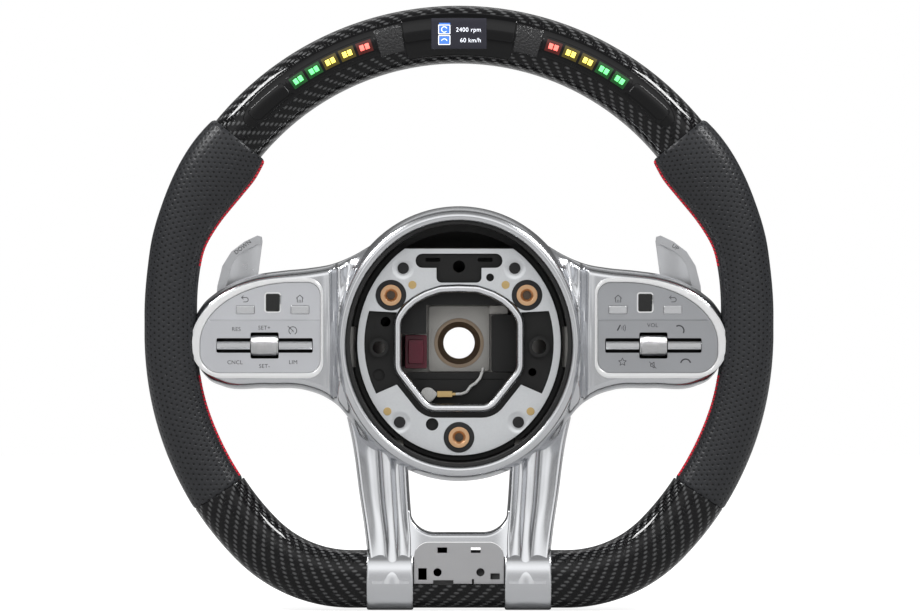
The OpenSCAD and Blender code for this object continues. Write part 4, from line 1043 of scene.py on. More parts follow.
@dataclass
class DisplayStrip:
    """Gloss strip in the top of the rim with its screen, lights, panels and keys."""

    path: RimPath
    screen: Pair = (32.4, 17.9)
    screen_z: float = 181.8
    screen_edge: float = 0.3
    light_first: float = 19.1
    light_step: float = 3.68
    light_size: Pair = (2.5, 3.3)
    light_radius: float = 169.2
    light_gap: float = 0.35
    glow_half: Pair = (4.6, 3.5)
    thickness: float = 1.2
    light_thickness: float = 0.3
    lit_paler: float = 0.1
    lit_strength: float = 1.8
    glow_share: float = 0.045
    stroke: float = 0.45

    def height(self, radius: Array, lift: float) -> Array:
        """Depth of the carbon's face at a distance from the arc's centre, stood off by lift."""
        half = self.path.width / 2
        x = np.clip(np.abs(radius - self.path.radius + half) / half, 0, 0.999)
        face = self.path.depth / 2 * (1 - x ** (2 / SQUARENESS)) ** (SQUARENESS / 2)
        return -self.path.ahead - face - lift

    def patch(self, name: str, angles: Pair, radii: Pair | Callable, lift: float, finish: Finish,
              side: int = 1, corner: float = 1.0, edge: float = 0.5, thick: float = 1.2,
              steps: float = 1.2, nodes: tuple[str, ...] = ()) -> None:
        """Makes a panel that follows the rim's face, with rounded edges and corners.

        Args:
            name: Name of the piece.
            angles: First and last angle from the top, in degrees.
            radii: Inner and outer radius, or a function of the angle that gives both.
            lift: How far it stands proud of the carbon.
            finish: Its finish.
            side: 1 for the right, -1 for the left.
            corner: Radius of its corners.
            edge: Radius of its rounded edge.
            thick: Its thickness.
            steps: Spacing of the points.
            nodes: CAD nodes that it stands for.
        """
        first, last = angles
        long = math.radians(abs(last - first)) * self.light_radius
        u = edge_steps(long, edge, steps)
        angle = np.radians(first + (last - first) * u / long)
        low, high = (radii(np.degrees(np.abs(angle))) if callable(radii)
                     else (np.full_like(u, r) for r in radii))
        wide = float(np.max(high - low))
        v = edge_steps(wide, edge, steps)
        radius = low[:, None] + (high - low)[:, None] * (v / wide)
        away = np.minimum(u, long - u)[:, None], np.minimum(v, wide - v)[None, :]
        inset = (np.clip(corner - a, 0, corner) for a in away)
        near = np.minimum(np.minimum(*away), corner - np.hypot(*inset))
        x, z = radius * np.sin(angle)[:, None], self.path.rise + radius * np.cos(angle)[:, None]
        y = self.height(radius, lift)
        slab(name, x, y + eased(np.clip(near, 0, edge), edge), z, y + thick, finish, side,
             nodes=nodes, crease=50)

    @staticmethod
    def wing(angle: Array) -> tuple[Array, Array]:
        """Inner and outer radius of the gloss wing, narrowing to its outer tip."""
        tip = np.clip((angle - 41) / 6.5, 0, 1)
        near = np.clip((16 - angle) / 5.5, 0, 1)
        return 161.6 + 4.5 * tip**2 - 3.5 * near**2, 178.0 - 5.5 * tip**2 + 1.2 * near**2

    def build(self) -> None:
        """Makes the housing, then everything set in it; the left pieces stand for the nodes."""
        panels = (
            ("gloss_wing", (10.2, 47.4), self.wing, 0.3, GLOSS, 3.0, 1.2, "display_housing"),
            ("touch_panel", (11.3, 16.5), (160.6, 177.0), 0.75, GRAINED, 1.2, 0.8,
             "touch_panels"),
            ("light_lens", (16.8, 36.2), (163.6, 174.2), 0.55, GLOSS, 2.0, 1.2, "light_lenses"),
            ("end_key", (36.7, 45.6), (163.8, 174.0), 0.75, GLOSS, 2.2, 1.2, "end_keys"))
        for side, word in SIDES:
            for name, angles, radii, lift, finish, corner, steps, node in panels:
                self.patch(f"{name}_{word}", angles, radii, lift, finish, side, corner,
                           steps=steps, nodes=(node,) if side < 0 else ())
            self.lights(side, word)
        self.patch("display_block", (-11.1, 11.1), (155.0, 180.3), 0.6, GLOSS, corner=2.0,
                   edge=0.8)
        self.screen_piece()

    def lights(self, side: int, word: str) -> None:
        """Five pairs of lit segments, each pair over a soft glow."""
        order = (Light.RED, Light.AMBER, Light.AMBER, Light.GREEN, Light.GREEN)
        turn = math.degrees(1 / self.light_radius)
        half, tall = self.light_size[0] / 2, self.light_size[1] / 2

        def window(at: float, across: float, up: float) -> tuple[Pair, Pair]:
            """Angles and radii of a window round an angle, from its half sizes."""
            return ((at - across * turn, at + across * turn),
                    (self.light_radius - up, self.light_radius + up))

        for i, light in enumerate(order):
            middle = self.light_first + i * self.light_step
            lit = Lit(f"lit_{light.name.lower()}", "light_chip",
                      tuple(min(c + self.lit_paler, 1.0) for c in light.value), 0.4,
                      strength=self.lit_strength)
            glow = Lit(f"glow_{light.name.lower()}", "lens_smoke",
                       tuple(c * self.glow_share for c in light.value), 0.15)
            self.patch(f"glow_{word}_{i + 1}", *window(middle, *self.glow_half), 0.72, glow, side,
                       corner=2.6, edge=0.1, thick=self.light_thickness,
                       nodes=("light_chips",) if side < 0 and i == 0 else ())
            for way, tag in ((-1, "a"), (1, "b")):
                at = middle + way * (half + self.light_gap) * turn
                self.patch(f"light_{word}_{i + 1}_{tag}", *window(at, half, tall), 0.95, lit, side,
                           corner=0.5, edge=0.2, thick=self.light_thickness, steps=0.6)

    def screen_piece(self) -> None:
        """The screen with its two small pictures and lines of figures."""
        glass, pale, blue = (Lit(f"screen_{name}", "screen_glass", *look) for name, *look in (
            ("glass", (0.012, 0.014, 0.028), 0.08), ("white", (0.85, 0.88, 0.95), 0.4),
            ("blue", (0.05, 0.16, 0.55), 0.4)))
        y = -self.path.ahead - self.path.depth / 2 - 0.85
        (w, h), edge = self.screen, self.screen_edge
        u, v = edge_steps(w, edge, 2.0), edge_steps(h, edge, 2.0)
        x, z = np.meshgrid(u - w / 2, v - h / 2, indexing="ij")
        near = np.minimum(np.minimum(u, w - u)[:, None], np.minimum(v, h - v)[None, :])
        face = y + eased(near, edge)
        slab("screen", x, face, z + self.screen_z, face + self.thickness, glass,
             nodes=("display_screen",))
        front = y - 0.04
        for row, (words, z0) in enumerate((("2400 rpm", 182.9), ("60 km/h", 176.7)), 1):
            Legend(words, 3.6, (13.0, z0), front, pale, align="RIGHT").build(f"screen_line_{row}")
            box = (-8.6, z0 + 1.3)
            Glyph.frame(f"screen_box_{row}", box, (6.6, 5.2), self.stroke, front, pale)
            Glyph.panel(f"screen_fill_{row}", box, (5.7, 4.3), front + 0.01, blue)
        for name, z0, radius, end in (("dial", 184.2, 1.6, 320), ("road", 177.0, 1.7, 160)):
            Glyph.strip(f"screen_{name}", arc((-8.6, z0), radius, 20, end, 28), self.stroke,
                        front - 0.02, pale)
        Glyph.panel("screen_bar", (-8.4, 187.6), (6.4, 0.9), front, blue)


# ---------------------------------------------------------------- lettering and signs


@dataclass
class Legend:
    """A line of plain functional lettering that lies on a face turned to the front."""

    words: str
    size: float
    at: Pair
    depth: float
    finish: Finish
    align: str = "CENTER"
    turn: float = 0.0
    thick: float = 0.05

    def build(self, name: str, body: str = "wheel") -> None:
        """Makes the text a mesh and puts it in its place."""
        curve = bpy.data.curves.new(name, "FONT")
        curve.body, curve.size = self.words, self.size * MM
        curve.align_x, curve.extrude, curve.resolution_u = self.align, self.thick * MM / 2, 4
        curve.space_character = 1.05
        mesh = evaluated(bpy.data.objects.new(name + "_curve", curve))
        upright = Matrix.Rotation(math.radians(90), 4, "X")
        spin = Matrix.Rotation(math.radians(self.turn), 4, "Y")
        shift = Matrix.Translation(Vector((self.at[0], self.depth, self.at[1])) * MM)
        mesh.transform(shift @ spin @ upright)
        place(name, mesh, self.finish, body)


class Glyph:
    """Small printed signs made of flat strips."""

    THICKNESS = 0.06

    @staticmethod
    def strip(name: str, line: Array, width: float, depth: float, finish: Finish,
              closed: bool = False) -> None:
        """A flat strip of even width that follows a line of (x, z) points.

        Each point is moved half the width both ways along the mitred normal of the line.
        """
        if closed:
            line, normal = (np.vstack([a, a[:1]]) for a in (line, outward(line)))
        else:
            ahead = np.gradient(line, axis=0)
            normal = unit(np.stack([ahead[:, 1], -ahead[:, 0]], 1))
        half = normal * width / 2
        flat = np.stack([line - half, line + half], 1)
        slab(name, flat[..., 0], np.array(depth), flat[..., 1], depth + Glyph.THICKNESS,
             finish)

    @staticmethod
    def frame(name: str, centre: Pair, size: Pair, width: float, depth: float,
              finish: Finish) -> None:
        """A strip round a rectangle."""
        w, h = size[0] / 2, size[1] / 2
        line = resampled(np.array([[-w, -h], [w, -h], [w, h], [-w, h]]), 0.35) + centre
        Glyph.strip(name, line, width, depth, finish, closed=True)

    @staticmethod
    def panel(name: str, centre: Pair, size: Pair, depth: float, finish: Finish) -> None:
        """A filled rectangle."""
        line = np.array([[-size[0] / 2, 0], [0, 0], [size[0] / 2, 0]]) + centre
        Glyph.strip(name, line, size[1], depth, finish)


# ---------------------------------------------------------------- hub ring, arms and spokes


@dataclass(frozen=True)
class HubOval:
    """The hub's opening: four arcs that meet on the diagonals."""

    half_width: float = 66.4
    half_height: float = 72.4

    @property
    def shift(self) -> float:
        """Distance of each arc's centre from the axis, so that the arcs meet smoothly."""
        return (self.half_height - self.half_width) / (2 - math.sqrt(2))

    def radii(self, out: float = 0.0) -> Pair:
        """Radius of the side arcs and of the end arcs, grown by out."""
        return self.half_width + self.shift + out, self.half_height - self.shift + out

    def arcs(self) -> list[tuple[Pair, float, float]]:
        """Centre, radius and first angle of each arc, from the right one on."""
        c, (side, end) = self.shift, self.radii()
        return [((-c, 0.0), side, -45), ((0.0, c), end, 45), ((c, 0.0), side, 135),
                ((0.0, -c), end, 225)]

    def distance(self, x: Array, z: Array) -> Array:
        """Distance out from the oval: the distance to the arc that faces the point."""
        found = np.zeros_like(x)
        for centre, radius, start in self.arcs():
            angle = (np.degrees(np.arctan2(z - centre[1], x - centre[0])) - start) % 360
            found = np.where(angle < 90, np.hypot(x - centre[0], z - centre[1]) - radius, found)
        return found

    def edge_x(self, z: Array, out: float) -> Array:
        """Half width at height z of the oval grown by out."""
        c, (side, end) = self.shift, self.radii(out)
        flank = np.sqrt(np.clip(side**2 - z**2, 0, None)) - c
        top = np.sqrt(np.clip(end**2 - (np.abs(z) - c) ** 2, 0, None))
        return np.where(np.abs(z) < side * math.sin(math.pi / 4), flank, top)

    def edge_z(self, x: Array, out: float) -> Array:
        """Half height at x of the oval grown by out, near its top and foot."""
        return self.shift + np.sqrt(np.clip(self.radii(out)[1] ** 2 - x**2, 0, None))

    def sweep(self, profile: Array, steps: int) -> Array:
        """Carries a closed (out, depth) profile round the oval, with steps points to an arc."""
        points, normals = [], []
        for centre, radius, start in self.arcs():
            normals.append(compass(start, start + 90, steps, endpoint=False)[1])
            points.append(np.array(centre) + radius * normals[-1])
        points, normals = (np.vstack(a + [a[0][:1]]) for a in (points, normals))
        flat = points[:, None] + normals[:, None] * profile[None, :, :1]
        depth = np.broadcast_to(profile[None, :, 1], flat.shape[:2])
        return np.stack([flat[..., 0], depth, flat[..., 1]], -1)


@dataclass(frozen=True)
class PodShape:
    """Outline of a switch pod: outer ellipse quarter, rounded inner end and lower corner."""

    centre: float = 100.0
    half: Pair = (57.5, 38.7)
    inner: float = 79.8
    inner_corner: float = 9.0
    low: float = -20.2
    low_corner: float = 19.3

    def outline(self, grow: float) -> Array:
        """Counter-clockwise (x, z) points of the outline, moved out by grow."""
        r, q = self.inner_corner, self.low_corner
        corners = ((self.centre, 0, self.half, 0, 90, 48),
                   (self.inner + r, self.half[1] - r, (r, r), 90, 180, 14),
                   (self.inner + r, self.low + r, (r, r), 180, 270, 14),
                   (self.centre + self.half[0] - q, self.low + q, (q, q), 270, 359, 24))
        return np.vstack([(x, z) + (np.array(size) + grow) * compass(*span)[1]
                          for x, z, size, *span in corners])


def brim(share: Array, span: Array, reach: Array | float, power: float) -> Array:
    """Rise over both rounded edges of a strip.

    Args:
        share: Way across, from 0 to 1.
        span: Width of the strip.
        reach: Distance from an edge at which the rise is full.
        power: Power of the superellipse.

    Returns:
        0 at both edges, 1 between them.
    """
    return risen(np.clip(np.minimum(share, 1 - share) * span / reach, 0, 1), power)


@dataclass
class UpperTrim:
    """Silver ring round the hub and the two arms that carry the pods."""

    oval: HubOval = HubOval()
    back: float = -57.0
    pocket: Pair = (1.0, 0.2)
    fillet_depth: float = 5.0
    fillet_start: float = 6.5
    fillet_fade: float = 2.6
    edge_reach: float = 6.5
    edge_power: float = 2.3
    top: Curve = (
        (40, 64), (50.6, 58.8), (61.2, 52.6), (74, 47.2), (88, 44.6), (104, 43), (119.6, 40.6),
        (133, 36), (144, 29.5), (151, 23), (155.5, 15.5), (157.8, 9), (158.6, 3))
    low: Curve = (
        (40, -66), (52, -62), (59, -55.5), (64.5, -45), (70, -38), (79, -31.5), (91, -27.3),
        (113, -26.3), (139.5, -25), (148, -20.6), (153, -14), (156.5, -6.5), (158.6, 0))
    face: Curve = (
        (42, -60), (56, -61), (61, -62), (65.6, -62.6), (68.4, -66.0), (71, -67.8), (73.4, -64.4),
        (75.8, -68.2), (78.2, -69.0), (84, -69.6), (120, -70.0), (144, -69.8), (153, -69),
        (158.6, -66))
    ring: Curve = (
        (0.0, -62), (0.0, -69.6), (0.15, -70.3), (0.7, -71.0), (1.6, -71.4), (2.6, -71.5),
        (3.4, -71.3), (5.2, -70.1), (5.9, -69.3), (6.4, -68.2), (7.2, -65.4), (8.0, -62.6),
        (8.6, -60.0), (8.4, -57), (4.4, -57), (4.4, -62), (0.0, -62))

    def build(self) -> None:
        """Makes the ring, a bright sloped band inside a rounded shoulder, and both arms."""
        build("hub_ring", self.oval.sweep(np.array(self.ring), 72), SILVER, nodes=("hub_ring",),
              crease=28)
        for side, word in SIDES:
            self.arm(side, word)

    def arm_grid(self, x: Array, s: Array, out: float) -> Frames:
        """Lays a grid over an arm, kept outside the hub's oval.

        Args:
            x: Stations across.
            s: Shares of the way up at each station.
            out: How far the oval is grown.

        Returns:
            Across and height of each place, and the arm's span at each station.
        """
        hi, lo = smooth_curve(x, self.top), smooth_curve(x, self.low)
        span = (hi - lo)[:, None]
        z = lo[:, None] + span * s
        return np.maximum(x[:, None], self.oval.edge_x(z, out)), z, span

    def depth(self, x: Array, z: Array, s: Array, span: Array) -> Array:
        """Depth of an arm's face.

        Read along X from its flutes; pulled forward near the ring by an exponential fillet;
        rounded down to the back over the outer 6.5 mm by a quarter of a superellipse.
        """
        away = np.clip(self.oval.distance(x, z) - self.fillet_start, 0, None)
        face = smooth_curve(x, self.face) - self.fillet_depth * np.exp(-away / self.fillet_fade)
        rise = brim(s, span, np.minimum(self.edge_reach, span / 3), self.edge_power)
        return self.back + (face - self.back) * rise

    def arm(self, side: int, word: str) -> None:
        """One arm, with a pocket for its pod."""
        stations = np.r_[np.linspace(42, 84, 84), np.linspace(84.6, 140, 84),
                         np.linspace(140.5, 158.58, 56)]
        s = cosine_steps(150, 0.55)
        x, z, span = self.arm_grid(stations, s, 5.0)
        y = self.depth(x, z, s, span)
        inset, floor = self.pocket
        y = np.where(within(x, z, PodShape().outline(-inset)), self.back - floor, y)
        slab(f"arm_{word}", x, y, z, self.back, SILVER, side, nodes=("arm_trims",), crease=45)


@dataclass
class LowerTrim:
    """Silver trim of the two lower spokes, the band between them and the rim cuffs."""

    path: RimPath
    oval: HubOval
    outer: Curve = (
        (-139, 53.5), (-131.5, 53.6), (-110, 55.6), (-89.7, 58.6), (-56.7, 63.2), (-44, 66))
    inner: Curve = (
        (-139, 26.8), (-112, 27.0), (-104, 27.8), (-89.7, 29.0), (-74, 30.0), (-44, 31.5))
    face: Curve = (
        (-141, -79), (-136, -78.4), (-128, -76), (-116, -72.9), (-100, -69), (-80, -65.4),
        (-60, -62), (-44, -60.5))
    edge: Curve = ((-139, -62), (-100, -57), (-60, -54), (-44, -53))
    rib_middle: Curve = ((-139, 0.47), (-90, 0.42), (-44, 0.38))
    rib_half: Curve = ((-139, 0.16), (-125, 0.10), (-90, 0.085), (-44, 0.09))
    flute_depth: Curve = ((-141, 0.0), (-136, 0.3), (-128, 1.5), (-108, 4.0), (-90, 4.6),
                          (-44, 4.8))
    flute_edge: float = 0.05
    rib_rise: float = 0.6
    gap_half: float = 29.0
    gap_floor: float = -110.7
    gap_corner: float = 14.7
    badge_half: float = 26.4
    badge_top: float = -116.6
    badge_corner: float = 8.8
    band_back: float = -64.0
    band_face: Pair = (-71.2, 0.12)
    band_middle: float = -114.0
    band_blend: Pair = (20.0, 9.0)
    band_edge: Pair = (3.0, 4.5)
    band_sunk: float = 1.2
    cuff: Pair = (27.3, 53.8)
    cuff_wall: float = 1.25
    cuff_edge: float = 0.5
    cuff_step: float = 0.45
    cuff_step_at: Pair = (7.6, 0.9)

    def build(self) -> None:
        """Makes both spokes, the band and both cuffs; the left spoke stands for the CAD trim."""
        for side, word in SIDES:
            self.spoke(side, word)
            self.cuff_piece(side, word)
        self.band()

    def flutes(self, t: Array, z: Array) -> Array:
        """Hollow of the two flutes across a spoke, with the raised rib between them.

        Each flute is a skewed sine arch between rib and edge, and both fade out towards the
        cuff.
        """
        middle, half, deep = (smooth_curve(z, c) for c in (self.rib_middle, self.rib_half,
                                                           self.flute_depth))
        near, far = self.flute_edge, 1 - self.flute_edge
        left = np.clip((t - near) / np.maximum(middle - half - near, 1e-6), 0, 1)
        right = np.clip((far - t) / np.maximum(far - middle - half, 1e-6), 0, 1)
        skew = np.where(t < middle, left, right)
        off = np.abs(t - middle)
        return np.where(off < half, -self.rib_rise * (1 - (off / half) ** 2),
                        deep * np.sin(np.pi * skew) ** 0.8 * (0.35 + 0.65 * skew))

    def spoke_grid(self, z: Array, t: Array, out: float) -> Frames:
        """Lays a grid over a spoke, kept outside the hub's oval.

        Args:
            z: Heights of the stations.
            t: Shares of the way out at each station.
            out: How far the oval is grown.

        Returns:
            Across and height of each place, and the spoke's span at each station.
        """
        outer, inner = smooth_curve(z, self.outer), smooth_curve(z, self.inner)
        span = (outer - inner)[:, None]
        x = inner[:, None] + span * t
        return x, np.minimum(z[:, None], -self.oval.edge_z(x, out)), span

    def spoke(self, side: int, word: str) -> None:
        """One spoke's face, rounded down to its back at both edges."""
        stations, t = np.linspace(-43.5, -140.5, 130), cosine_steps(90, 0.65)
        x, z, span = self.spoke_grid(stations, t, 5.0)
        back = smooth_curve(stations, self.edge)[:, None]
        face = smooth_curve(stations, self.face)[:, None] + self.flutes(t, z)
        slab(f"lower_spoke_{word}", x, back + (face - back) * brim(t, span, 3.2, 2.6), z,
             back + 0.05, SILVER, side, nodes=("trim_lower",) if side < 0 else (), crease=50)

    def band(self) -> None:
        """The band above the badge plate, between the rounded gap and the plate's outline."""
        x = np.linspace(-30.4, 30.4, 122)[:, None]
        out = np.abs(x)
        up = np.clip(out - (self.gap_half - self.gap_corner), 0, self.gap_corner)
        top = self.gap_floor + self.gap_corner - np.sqrt(self.gap_corner**2 - up**2)
        into = np.clip(out - (self.badge_half - self.badge_corner), 0, self.badge_corner)
        low = self.badge_top + 0.2 - self.badge_corner + np.sqrt(self.badge_corner**2 - into**2)
        low = np.where(out > self.badge_half, self.badge_top - self.badge_corner, low)
        z = top + (low - top) * edge_steps(1.0, 0.12, 0.06)
        slope = smooth_curve(z, self.face)
        level, tilt = self.band_face
        centre = level + tilt * (z - self.band_middle)
        start, blend = self.band_blend
        side = np.clip((out - start) / blend, 0, 1)
        face = centre + (slope + self.band_sunk - centre) * side**2 * (3 - 2 * side)
        reach, drop = self.band_edge
        away = 1 - np.clip((top - z) / reach, 0, 1)
        slab("spoke_band", x, face + drop * (1 - np.sqrt(1 - away**2)), z, self.band_back, SILVER,
             crease=50)

    def cuff_piece(self, side: int, word: str) -> None:
        """A cuff: the rim's section stood off by its wall, with a soft step and rounded ends."""
        p, (first, last) = self.path, self.cuff
        frames = p.level(first, last, 40)
        near = np.minimum(frames[2], last - first - frames[2])
        grow = self.cuff_wall - 0.5 * eased(near, self.cuff_edge)
        around = np.linspace(0, 2 * np.pi, 145)
        section = rim_section(p.width + 2 * grow, p.depth + 2 * grow, around)
        section[..., 0] += grow[:, None]
        at, spread = self.cuff_step_at
        step = np.exp(-((section[..., 0] + at) / spread) ** 2) * (section[..., 1] > 0)
        section[..., 1] -= self.cuff_step * step
        p.piece(f"rim_cuff_{word}", frames, section, SILVER, 0.4, side, crease=50)


@dataclass
class BackCover:
    """Black covers behind the hub, the arms and the lower spokes."""

    trim: UpperTrim
    lower: LowerTrim
    dish: Curve = (
        (8.2, -57), (7.9, -52), (6.6, -46), (3, -36), (-1, -27.5), (-5, -20), (-9.4, -13.4),
        (-14, -8), (-18.4, -3.6), (-23, 0), (-27.4, 2.4), (-32, 3.5), (-47.2, 3.5))
    wall: Pair = (-2.2, -2.4)
    grown: float = 4.0
    arm_edge: float = 6.0
    spoke_edge: float = 5.0
    edge_power: float = 2.2
    lip: Pair = (5.6, -57)
    arm_rear: Curve = (
        (42, -30), (56, -34), (62, -38.6), (68, -42.6), (74, -46), (81, -48.5), (150, -48.5),
        (158.6, -51.5))
    spoke_rear: Curve = ((-122, -49), (-100, -47), (-76, -40), (-60, -36), (-52, -36))

    def build(self) -> None:
        """Makes the dish, the arms' backs and the spokes' backs."""
        out = np.array(self.dish)
        inside = out[::-1] + self.wall
        inside[-1] = self.lip
        build("rear_dish", self.trim.oval.sweep(np.vstack([out, inside, out[:1]]), 48), COVER,
              nodes=("rear_cover",), crease=40)
        for side, word in SIDES:
            self.arm(side, word)
            self.spoke(side, word)

    def arm(self, side: int, word: str) -> None:
        """The back of one arm: the trim's outline, rounded to its rear face."""
        stations = np.r_[np.linspace(48, 84, 50), np.linspace(85, 150, 50),
                         np.linspace(150.4, 158.58, 24)]
        s, seat = cosine_steps(80), self.trim.back
        x, z, span = self.trim.arm_grid(stations, s, self.grown)
        back = smooth_curve(stations, self.arm_rear)[:, None]
        rise = brim(s, span, np.minimum(self.arm_edge, span / 3), self.edge_power)
        slab(f"arm_back_{word}", x, seat + (back - seat) * rise, z, seat + 0.01, COVER, side,
             nodes=("arm_covers",), crease=45)

    def spoke(self, side: int, word: str) -> None:
        """The back of one lower spoke; the left one stands for the CAD cover."""
        stations, t = np.linspace(-52, -120.5, 70), cosine_steps(40)
        x, z, span = self.lower.spoke_grid(stations, t, self.grown)
        front, back = (smooth_curve(stations, curve)[:, None]
                       for curve in (self.lower.edge, self.spoke_rear))
        rise = brim(t, span, self.spoke_edge, self.edge_power)
        slab(f"spoke_back_{word}", x, front + (back - front) * rise, z, front + 0.02, COVER, side,
             nodes=("lower_cover",) if side < 0 else (), crease=45)


# ---------------------------------------------------------------- pieces carried over from CAD


@dataclass
class CadPiece:
    """A CAD node carried over with its edges broken and a proper finish."""

    node: str
    finish: Finish
    edge: float = 0.25
    segments: int = 2
    left: Finish | None = None
    merge_distance: float = 4e-6
    flat_angle: float = 1.5
    bevel_angle: float = 32.0
    crease: float = 38.0

    def build(self, frame: dict) -> None:
        """Copies the node, merges its triangles into faces and rounds its edges.

        Where a left finish is given, the faces at negative X wear it.
        """
        source = frame["nodes"][self.node]
        mesh = source.data.copy()
        with editing(mesh) as edit:
            bmesh.ops.remove_doubles(edit, verts=edit.verts, dist=self.merge_distance)
            bmesh.ops.dissolve_limit(edit, angle_limit=math.radians(self.flat_angle),
                                     verts=edit.verts, edges=edit.edges)
        mesh.polygons.foreach_set("use_smooth", np.ones(len(mesh.polygons), bool))
        name = f"{self.node}_dressed"
        holder = bpy.data.objects.new(name + "_work", mesh)
        if self.edge > 0:
            bevel = holder.modifiers.new("edge", "BEVEL")
            bevel.width, bevel.segments = self.edge * MM, self.segments
            bevel.limit_method, bevel.angle_limit = "ANGLE", math.radians(self.bevel_angle)
            bevel.miter_outer = "MITER_ARC"
            flat = holder.modifiers.new("flat", "WEIGHTED_NORMAL")
            flat.mode, flat.weight, flat.keep_sharp = "FACE_AREA", 90, True
        final = evaluated(holder)
        final.name = name
        place(name, final, self.finish, source["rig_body"], (self.node,), self.crease)
        if self.left is not None:
            final.materials.append(self.left.material())
            middle = np.zeros(3 * len(final.polygons))
            final.polygons.foreach_get("center", middle)
            final.polygons.foreach_set("material_index", (middle[::3] < 0).astype(np.int32))


@dataclass
class SwitchPod:
    """Keys, rockers and roller of one pod, with their printed signs."""

    side: int
    word: str
    words: tuple[tuple[str, float, float], ...]
    pad_at: Pair = (109.4, 24.2)
    pad_corner: Pair = (3.0, 4.15)
    printed: float = 0.16

    @staticmethod
    def face(z: float) -> float:
        """Depth of the plate's face at a height: two gentle slopes that meet in a crease."""
        return float(np.interp(z, [-30, 13.2, 14.4, 40], [-70.4, -71.0, -70.2, -69.5]))

    @staticmethod
    def shared(frame: dict) -> None:
        """Dresses the bezels, plates and housings, each one node for both pods; the plates wear a
        lit copy of their finish on the left and a shaded copy on the right.
        """
        CadPiece("switch_bezels", BEZEL, 0.9, 4).build(frame)
        # Painted light: the left plates wear a lighter, lit copy of the switch finish, and the
        # right ones a darker, shaded copy.
        CadPiece("switch_plates", PLATE_RIGHT_SHADED, 0.2, left=PLATE_LEFT_LIT).build(frame)
        CadPiece("switch_housings", HUB_BLACK, 0.2).build(frame)

    def build(self, frame: dict) -> None:
        """Dresses the pod's own CAD nodes and prints its signs."""
        for name, finish, edge, segments in (
                ("back_button", KEY, 0.9, 4), ("home_button", KEY, 0.9, 4),
                ("touch_pad", PAD, 0.3, 2), ("outer_rocker", KEY, 0.9, 4),
                ("inner_rocker", KEY, 0.9, 4), ("roller", ROLLER, 0.0, 2)):
            CadPiece(f"{name}_{self.word}", finish, edge, segments).build(frame)
        self.pad_frame()
        for words, x, z in self.words:
            self.text(words, x, z)
        self.draw()

    def pad_frame(self) -> None:
        """The thin bright frame round the touch pad."""
        (w, h), (x, z) = self.pad_corner, self.pad_at
        corners = [arc(corner, 1.5, start, start + 90, 8) for corner, start in (
            ((w, h), 0), ((-w, h), 90), ((-w, -h), 180), ((w, -h), 270))]
        Glyph.strip(f"pad_frame_{self.word}", np.vstack(corners) + (self.side * x, z), 0.8,
                    self.face(18.0) - 0.06, BEZEL, closed=True)

    def text(self, words: str, x: float, z: float, size: float = 3.3) -> None:
        """One printed word, with the middle of its letters at a place."""
        name = f"sign_{self.word}_{words.lower().replace('+', '_up').replace('-', '_down')}"
        Legend(words, size, (x, z - size * 0.36), self.face(z) - 0.02, INK,
               thick=self.printed).build(name)

    def line(self, name: str, points: Array | list, at: Pair = (0.0, 0.0), width: float = 0.42,
             closed: bool = False) -> None:
        """One printed stroke through (x, z) points round a place; a closed one is resampled."""
        points = np.array(points, float)
        points = (resampled(points, 0.3) if closed else points) + at
        depth = self.face(float(points[:, 1].mean())) - 0.05
        Glyph.strip(f"sign_{self.word}_{name}", points, width, depth, INK, closed)

    def draw(self) -> None:
        """Draws the small pictures of the left or the right pod."""
        if self.side < 0:
            self.gauge((-97.6, 7.7))
        self.arrow((self.side * 125.7, 26.2))
        self.house((self.side * 93.5, 26.2))
        if self.side > 0:
            self.handset("call", (130.8, 9.4), 0.0)
            self.handset("end", (133.1, -9.6), 45.0)
            self.star((96.0, -10.7))
            self.speaker((113.7, -12.5))
            self.talker((95.4, 9.3))

    def arrow(self, at: Pair) -> None:
        """A hooked arrow that turns back to the left."""
        hook = np.vstack([[[-2.0, 1.0], [0.6, 1.0]], arc((0.6, -0.3), 1.3, 90, -90, 12),
                          [[-1.0, -1.6]]])
        self.line("arrow", hook, at)
        self.line("arrow_head", [[-0.9, 2.1], [-2.1, 1.0], [-0.9, -0.1]], at)

    def house(self, at: Pair) -> None:
        """A small house with a pointed roof."""
        self.line("house", [[-1.5, -1.9], [1.5, -1.9], [1.5, 0.5], [2.1, 0.5], [0, 2.4],
                            [-2.1, 0.5], [-1.5, 0.5]], at, closed=True)
        self.line("house_door", [[-0.45, -1.8], [-0.45, -0.6], [0.45, -0.6], [0.45, -1.8]], at, 0.3)

    def gauge(self, at: Pair) -> None:
        """A speed gauge with a hand."""
        self.line("gauge", arc(at, 2.3, -60, 240, 28))
        self.line("gauge_hand", [[-2.9, 2.6], [0.3, -0.2]], at)
        self.line("gauge_tick", [[-0.6, -0.9], [0.0, 0.4], [0.6, -0.9]], at, 0.3)

    def handset(self, name: str, at: Pair, turn: float) -> None:
        """A telephone handset, turned by some degrees."""
        ends = np.vstack([[[2.9, -1.6]], arc((0.0, -2.4), 3.0, 40, 140, 14), [[-2.9, -1.6]]])
        a = math.radians(turn - 45)
        spin = np.array([[math.cos(a), math.sin(a)], [-math.sin(a), math.cos(a)]])
        self.line(name, ends @ spin, at, 0.8)

    def star(self, at: Pair) -> None:
        """A five-pointed star in outline."""
        turn = np.radians(90 + 36 * np.arange(10))
        reach = np.where(np.arange(10) % 2 == 0, 2.5, 1.05)
        self.line("star", np.stack([np.cos(turn), np.sin(turn)], 1) * reach[:, None], at, 0.35,
                  closed=True)

    def speaker(self, at: Pair) -> None:
        """A loudspeaker crossed out."""
        self.line("speaker", [[-1.2, -0.7], [-0.4, -0.7], [0.9, -1.8], [0.9, 1.8], [-0.4, 0.7],
                              [-1.2, 0.7]], at, 0.4, closed=True)
        self.line("speaker_off", [[-2.0, 2.0], [2.2, -2.0]], at, 0.35)

